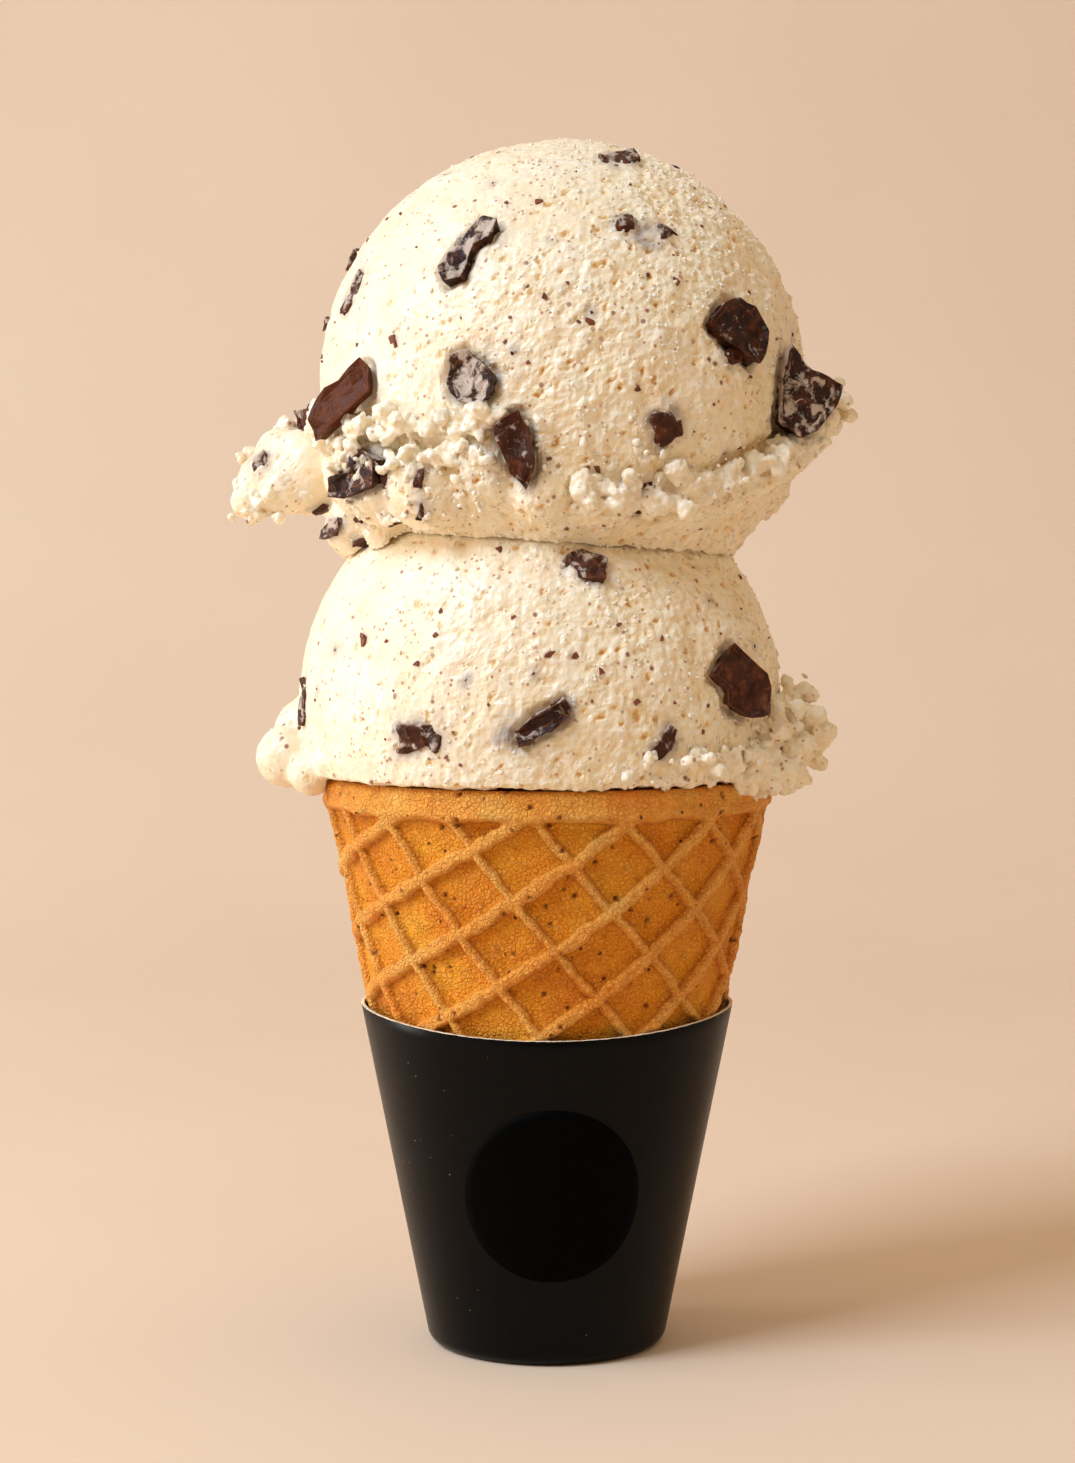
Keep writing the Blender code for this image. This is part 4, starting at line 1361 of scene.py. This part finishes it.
# %% Break and scatter the bits
# Scoop, bearing, climb, turn in degrees; length, width and depth in mm
HAND_PLACED_BITS = (
    ("upper", 16.9, 35.2, 20, (3.0, 2.6, 2.0)),
    ("upper", 29.2, 33.4, 70, (3.2, 2.6, 2.0)),
    ("upper", 27.0, 60.0, 10, (6.4, 4.2, 2.0)),
    ("upper", -64.0, 19.5, 60, (7.0, 4.6, 1.8)),
    ("upper", 24.0, -10.5, 30, (4.8, 4.6, 2.6)),
    ("upper", 20.0, -28.5, -12, (7.0, 4.8, 2.8)),
    ("upper", 42.0, 4.0, 40, (3.0, 2.6, 2.2)),
    ("upper", -62.0, -30.5, 10, (2.6, 1.6, 1.4)),
    ("upper", -33.0, -22.0, 80, (2.6, 1.4, 1.4)),
    ("upper", -57.0, -21.5, 40, (2.8, 2.0, 1.6)),
    ("upper", -43.0, -22.5, 70, (3.2, 2.4, 1.6)),
    ("upper", -47.0, -14.0, 20, (2.0, 1.4, 1.2)),
    ("lower", 12.0, 34.6, -16, (6.8, 4.2, 2.6)),
    ("lower", -29.0, -5.2, -4, (7.4, 3.8, 2.6)),
    ("lower", -24.5, -5.6, -30, (3.2, 2.4, 2.0)),
    ("lower", 30.0, -6.1, 48, (5.0, 2.4, 2.2)),
    ("lower", -76.0, 1.0, 100, (5.8, 3.6, 2.2)),
    ("lower", 4.0, 1.5, 30, (3.0, 2.2, 1.6)),
)
# The same for bits seen under the flap: x and z in mm, with the ray from the front
BITS_UNDER_FLAP = (
    (-29.4, 114.4, 10, (4.6, 2.4, 1.8)),
    (-25.0, 112.6, -8, (3.2, 1.8, 1.4)),
    (-31.5, 117.0, 40, (2.6, 1.8, 1.4)),
    (-20.5, 115.0, 30, (2.4, 1.4, 1.2)),
    (-16.5, 116.5, 80, (2.2, 1.2, 1.0)),
    (-39.6, 123.6, 30, (2.6, 2.2, 1.4)),
)
RED_BROWN_SPECKS = (
    ("upper", -7.6, 42.7),
    ("upper", -42.2, 8.2),
    ("upper", -41.2, 6.9),
    ("upper", -4.2, 16.7),
    ("upper", 6.0, 10.8),
    ("upper", 27.7, 20.8),
    ("upper", 16.5, -3.9),
    ("upper", 8.1, -21.7),
    ("upper", -26.8, -29.7),
    ("lower", -29.0, 11.4),
    ("lower", -47.3, 17.4),
    ("lower", -46.5, 16.0),
    ("lower", 22.1, 3.1),
    ("lower", 2.3, 13.9),
    ("lower", 8.0, 13.2),
    ("lower", 14.0, 9.8),
    ("lower", -11.8, 40.1),
    ("lower", -25.2, 23.8),
)
SCATTERED_BITS = 46
SCATTERED_SPECKS = 150
SCOOPS = {
    "upper": (scoop_upper, UPPER_CENTRE, UPPER_RADIUS),
    "lower": (scoop_lower, LOWER_CENTRE, LOWER_RADIUS),
}


def broken_bit(size, rng):
    """A unit cube with skewed corners and slanting cuts, scaled to its size."""
    bm = bmesh.new()
    bmesh.ops.create_cube(bm, size=1.0)
    for vertex in bm.verts:
        vertex.co += Vector([rng.uniform(-0.14, 0.14) for _ in range(3)])
    for _ in range(4):
        angle = rng.uniform(0.0, math.tau)
        normal = Vector((math.cos(angle), math.sin(angle), rng.uniform(-0.5, 0.7))).normalized()
        geometry = bm.verts[:] + bm.edges[:] + bm.faces[:]
        bmesh.ops.bisect_plane(
            bm, geom=geometry, plane_co=normal * rng.uniform(0.32, 0.46), plane_no=normal, clear_outer=True
        )
        bmesh.ops.holes_fill(bm, edges=[edge for edge in bm.edges if edge.is_boundary], sides=0)
    bmesh.ops.scale(bm, vec=Vector(size) * MM, verts=bm.verts)
    return bm


def surface_at(scoop, bearing, climb):
    """The point and the outward direction where a ray from outside meets a scoop's ice cream."""
    piece, centre, radius = SCOOPS[scoop]
    rise = math.radians(climb)
    outward = round_the_axis(bearing, math.cos(rise), math.sin(rise))
    hit, place, _, _ = piece.ray_cast(centre + outward * radius * 1.8, -outward)
    return (place if hit else centre + outward * radius), outward


def surface_in_front(x, z):
    """The same for a ray that comes straight from the front."""
    start = Vector((x * MM, -0.2, z * MM))
    hit, place, outward, _ = scoop_upper.ray_cast(start, Vector((0.0, 1.0, 0.0)))
    if hit:
        return place, outward
    return start + Vector((0.0, 0.2, 0.0)), Vector((0.0, -1.0, 0.0))


def drop_bit(all_bits, seat, turn, size, rng):
    """Adds one bit to the shared mesh, with most of its depth sunk into the ice cream."""
    place, outward = seat
    bm = broken_bit(size, rng)
    if max(size) > 1.5:
        snapped(bm, 1.6 * MM, 0.08 * MM, rng.random() * 9)
    spin = Matrix.Rotation(math.radians(turn), 4, "Z") @ Matrix.Rotation(rng.uniform(-0.3, 0.3), 4, "X")
    stand = outward.to_track_quat("Z", "Y").to_matrix().to_4x4()
    down = Matrix.Translation(place - outward * size[2] * 0.20 * MM)
    bmesh.ops.transform(bm, matrix=down @ stand @ spin, verts=bm.verts)
    mesh = bpy.data.meshes.new("bit")
    bm.to_mesh(mesh)
    bm.free()
    all_bits.from_mesh(mesh)
    bpy.data.meshes.remove(mesh)


def random_seat(rng):
    """A bearing and a seat on one of the scoops, chosen evenly over its surface."""
    scoop = "upper" if rng.random() < 0.6 else "lower"
    bearing = rng.uniform(-180, 180)
    climb = math.degrees(math.asin(rng.uniform(-0.35, 0.95)))
    return bearing, surface_at(scoop, bearing, climb)


rng = random.Random(23)
all_bits = bmesh.new()
all_bits.faces.layers.float.new("edge")
for scoop, bearing, climb, turn, size in HAND_PLACED_BITS:
    drop_bit(all_bits, surface_at(scoop, bearing, climb), turn, size, rng)
for x, z, turn, size in BITS_UNDER_FLAP:
    drop_bit(all_bits, surface_in_front(x, z), turn, size, rng)
for _ in range(SCATTERED_BITS):
    bearing, seat = random_seat(rng)
    length = rng.uniform(0.3, 0.6) if abs(bearing) < 84 else rng.uniform(1.2, 4.8)
    drop_bit(all_bits, seat, rng.uniform(0, 180), (length, length * 0.8, length * 0.6), rng)
bmesh.ops.recalc_face_normals(all_bits, faces=all_bits.faces)
chocolate_bits = make_piece("chocolate_bits", all_bits, dark_chocolate)
chocolate_bits.data.shade_flat()
add_frost(chocolate_bits, 0.44, 0.15)

all_specks = bmesh.new()
for scoop, bearing, climb in RED_BROWN_SPECKS:
    length = rng.uniform(0.8, 1.3)
    seat = surface_at(scoop, bearing, climb)
    drop_bit(all_specks, seat, rng.uniform(0, 180), (length, length * 0.8, 0.8), rng)
for _ in range(SCATTERED_SPECKS):
    length = rng.uniform(0.3, 0.75)
    drop_bit(all_specks, random_seat(rng)[1], rng.uniform(0, 180), (length, length * 0.8, 0.6), rng)
bmesh.ops.recalc_face_normals(all_specks, faces=all_specks.faces)
cocoa_specks = make_piece("cocoa_specks", all_specks, cocoa)
cocoa_specks.data.shade_flat()
print("bits:", len(chocolate_bits.data.polygons), "faces; specks:", len(cocoa_specks.data.polygons))

# %% [markdown]
# ## Cold haze round the chocolate
# Where chocolate is pressed in, the ice cream round it freezes harder and picks up cocoa, and looks grey.
# The distance to the nearest chocolate becomes the `haze` attribute that the ice cream's material reads.
# A few clouds are listed one by one, where chocolate lies just under the skin.

# %% Paint the haze
HAZE_REACH = 1.6 * MM
# Scoop, bearing, climb, radius in mm and strength
CLOUDS = (
    ("upper", 22.4, 33.1, 4.0, 1.6),
    ("upper", 29.0, 61.0, 2.8, 0.6),
    ("upper", -19.0, 31.0, 4.0, 0.8),
    ("upper", -19.0, 3.0, 4.2, 0.9),
    ("upper", -41.0, 8.0, 1.6, 0.4),
    ("upper", -44.0, -34.0, 3.4, 0.5),
    ("upper", -62.0, -32.0, 4.4, 0.5),
    ("upper", -84.0, -36.0, 4.0, 0.5),
    ("upper", 24.0, -9.0, 3.0, 0.5),
    ("lower", -6.5, -4.0, 4.2, 1.7),
    ("lower", -20.0, -5.6, 2.0, 0.5),
    ("lower", -47.3, 17.4, 1.6, 0.5),
    ("lower", 30.0, -4.6, 2.6, 0.4),
)


def paint_haze(piece, chocolate):
    """Paints how near each vertex is to chocolate, broken up by noise, and adds the clouds."""
    places = coordinates(piece.data)
    patchy = 0.60 + 0.9 * lumps(places, 2.2 * MM, 31) + 0.4 * lumps(places, 0.9 * MM, 32)
    haze = 0.8 * (1.0 - smooth_step(distances(chocolate, places, HAZE_REACH) / HAZE_REACH))
    for scoop, bearing, climb, radius, strength in CLOUDS:
        middle = np.array(surface_at(scoop, bearing, climb)[0])
        away = np.sqrt(((places - middle) ** 2).sum(axis=1)) / MM
        haze = np.maximum(haze, strength * (1.0 - smooth_step(away / radius)))
    paint(piece.data, "haze", np.clip(haze * patchy, 0.0, 1.0))
    print(f"{piece.name}: haze on {(haze > 0.3).sum()} vertices")


chocolate_tree = surface_tree([*chunks, chocolate_bits])
for piece in (scoop_lower, scoop_upper, *torn_pieces):
    paint_haze(piece, chocolate_tree)

# %% [markdown]
# ## Stage, light and camera
# The floor runs up into the backdrop in one sheet, so no line shows between them. A large soft lamp from
# the upper left gives the light its side, and a small weak one, low on the left, draws the long highlight
# on the black card. A warm world fills the shaded side. It is dim towards the camera, because the black
# card would mirror it. The camera looks slightly down from a little under half a metre away.

# %% Floor and backdrop
def backdrop_material():
    tree = Tree("peach_paper", 0.9)
    grain = tree.noise(8, 2.0)
    return tree.finish(tree.ramp(grain, (0.3, srgb(228, 203, 175)), (0.7, srgb(231, 207, 180))))


BEND_Y = 0.35
BEND_RADIUS = 0.35
bm = bmesh.new()
profile = [(-1.2, 0.0), (BEND_Y, 0.0)]
for angle in map(math.radians, range(10, 91, 10)):
    y = BEND_Y + BEND_RADIUS * math.sin(angle)
    profile.append((y, BEND_RADIUS - BEND_RADIUS * math.cos(angle)))
profile.append((0.70, 1.6))
points = [bm.verts.new((-2.0, y, z)) for y, z in profile]
edges = [bm.edges.new(pair) for pair in zip(points, points[1:])]
swept = bmesh.ops.extrude_edge_only(bm, edges=edges)
moved = [item for item in swept["geom"] if isinstance(item, bmesh.types.BMVert)]
bmesh.ops.translate(bm, verts=moved, vec=(4.0, 0.0, 0.0))
mesh = bpy.data.meshes.new("backdrop")
bm.to_mesh(mesh)
bm.free()
mesh.shade_smooth()
mesh.materials.append(backdrop_material())
backdrop = bpy.data.objects.new("backdrop", mesh)
bpy.context.scene.collection.objects.link(backdrop)
print("backdrop:", len(mesh.polygons), "faces")

# %% Lamps
def add_lamp(name, place, target, size, power, colour):
    """Adds a square area lamp that faces its target. Places are in metres."""
    lamp = bpy.data.lights.new(name, "AREA")
    lamp.shape = "SQUARE"
    lamp.size = size
    lamp.energy = power
    lamp.color = colour
    holder = bpy.data.objects.new(name, lamp)
    holder.location = place
    holder.rotation_euler = (Vector(target) - Vector(place)).to_track_quat("-Z", "Y").to_euler()
    bpy.context.scene.collection.objects.link(holder)


def fade(tree, value, low, high, reach):
    """A ramp from a low colour at 0 to a high colour at reach."""
    ramp = tree.nodes.new("ShaderNodeValToRGB")
    for element, position, colour in zip(ramp.color_ramp.elements, (0.0, reach), (low, high)):
        element.position = position
        element.color = (*colour, 1.0)
    tree.links.new(value, ramp.inputs["Fac"])
    return ramp.outputs["Color"]


scene = bpy.context.scene
world = bpy.data.worlds.new("studio")
world.use_nodes = True
sky = world.node_tree
background = sky.nodes["Background"]
split = sky.nodes.new("ShaderNodeSeparateXYZ")
sky.links.new(sky.nodes.new("ShaderNodeTexCoord").outputs["Generated"], split.inputs["Vector"])
colour = fade(sky, split.outputs["Z"], (1.0, 0.77, 0.53), (1.0, 0.81, 0.63), 1.0)
sky.links.new(colour, background.inputs["Color"])
from_front = sky.nodes.new("ShaderNodeMath")
from_front.operation = "ADD"
from_front.inputs[1].default_value = 1.0
sky.links.new(split.outputs["Y"], from_front.inputs[0])
strength = fade(sky, from_front.outputs[0], (0.12,) * 3, (0.60,) * 3, 0.24)
sky.links.new(strength, background.inputs["Strength"])
scene.world = world
add_lamp("key", (-1.02, -0.76, 1.22), (0.0, 0.0, 0.11), 0.75, 23.0, (0.78, 0.93, 1.16))
add_lamp("side", (-0.55, 0.03, 0.12), (0.0, 0.0, 0.09), 0.16, 1.1, (1.0, 0.97, 0.94))
print("lamps:", len(bpy.data.lights))

# %% Camera
CAMERA_PLACE = Vector((-1.33, -430.0, 111.6)) * MM
CAMERA_DOWN = 3.4
LENS = 75.6
camera_data = bpy.data.cameras.new("camera")
camera_data.lens = LENS
camera_data.clip_start = 0.01
camera = bpy.data.objects.new("camera", camera_data)
camera.location = CAMERA_PLACE
camera.rotation_euler = (math.radians(90.0 - CAMERA_DOWN), 0.0, 0.0)
scene.collection.objects.link(camera)
scene.camera = camera
scene.view_settings.view_transform = "Standard"
print("camera at", [round(side, 1) for side in CAMERA_PLACE / MM], "mm")
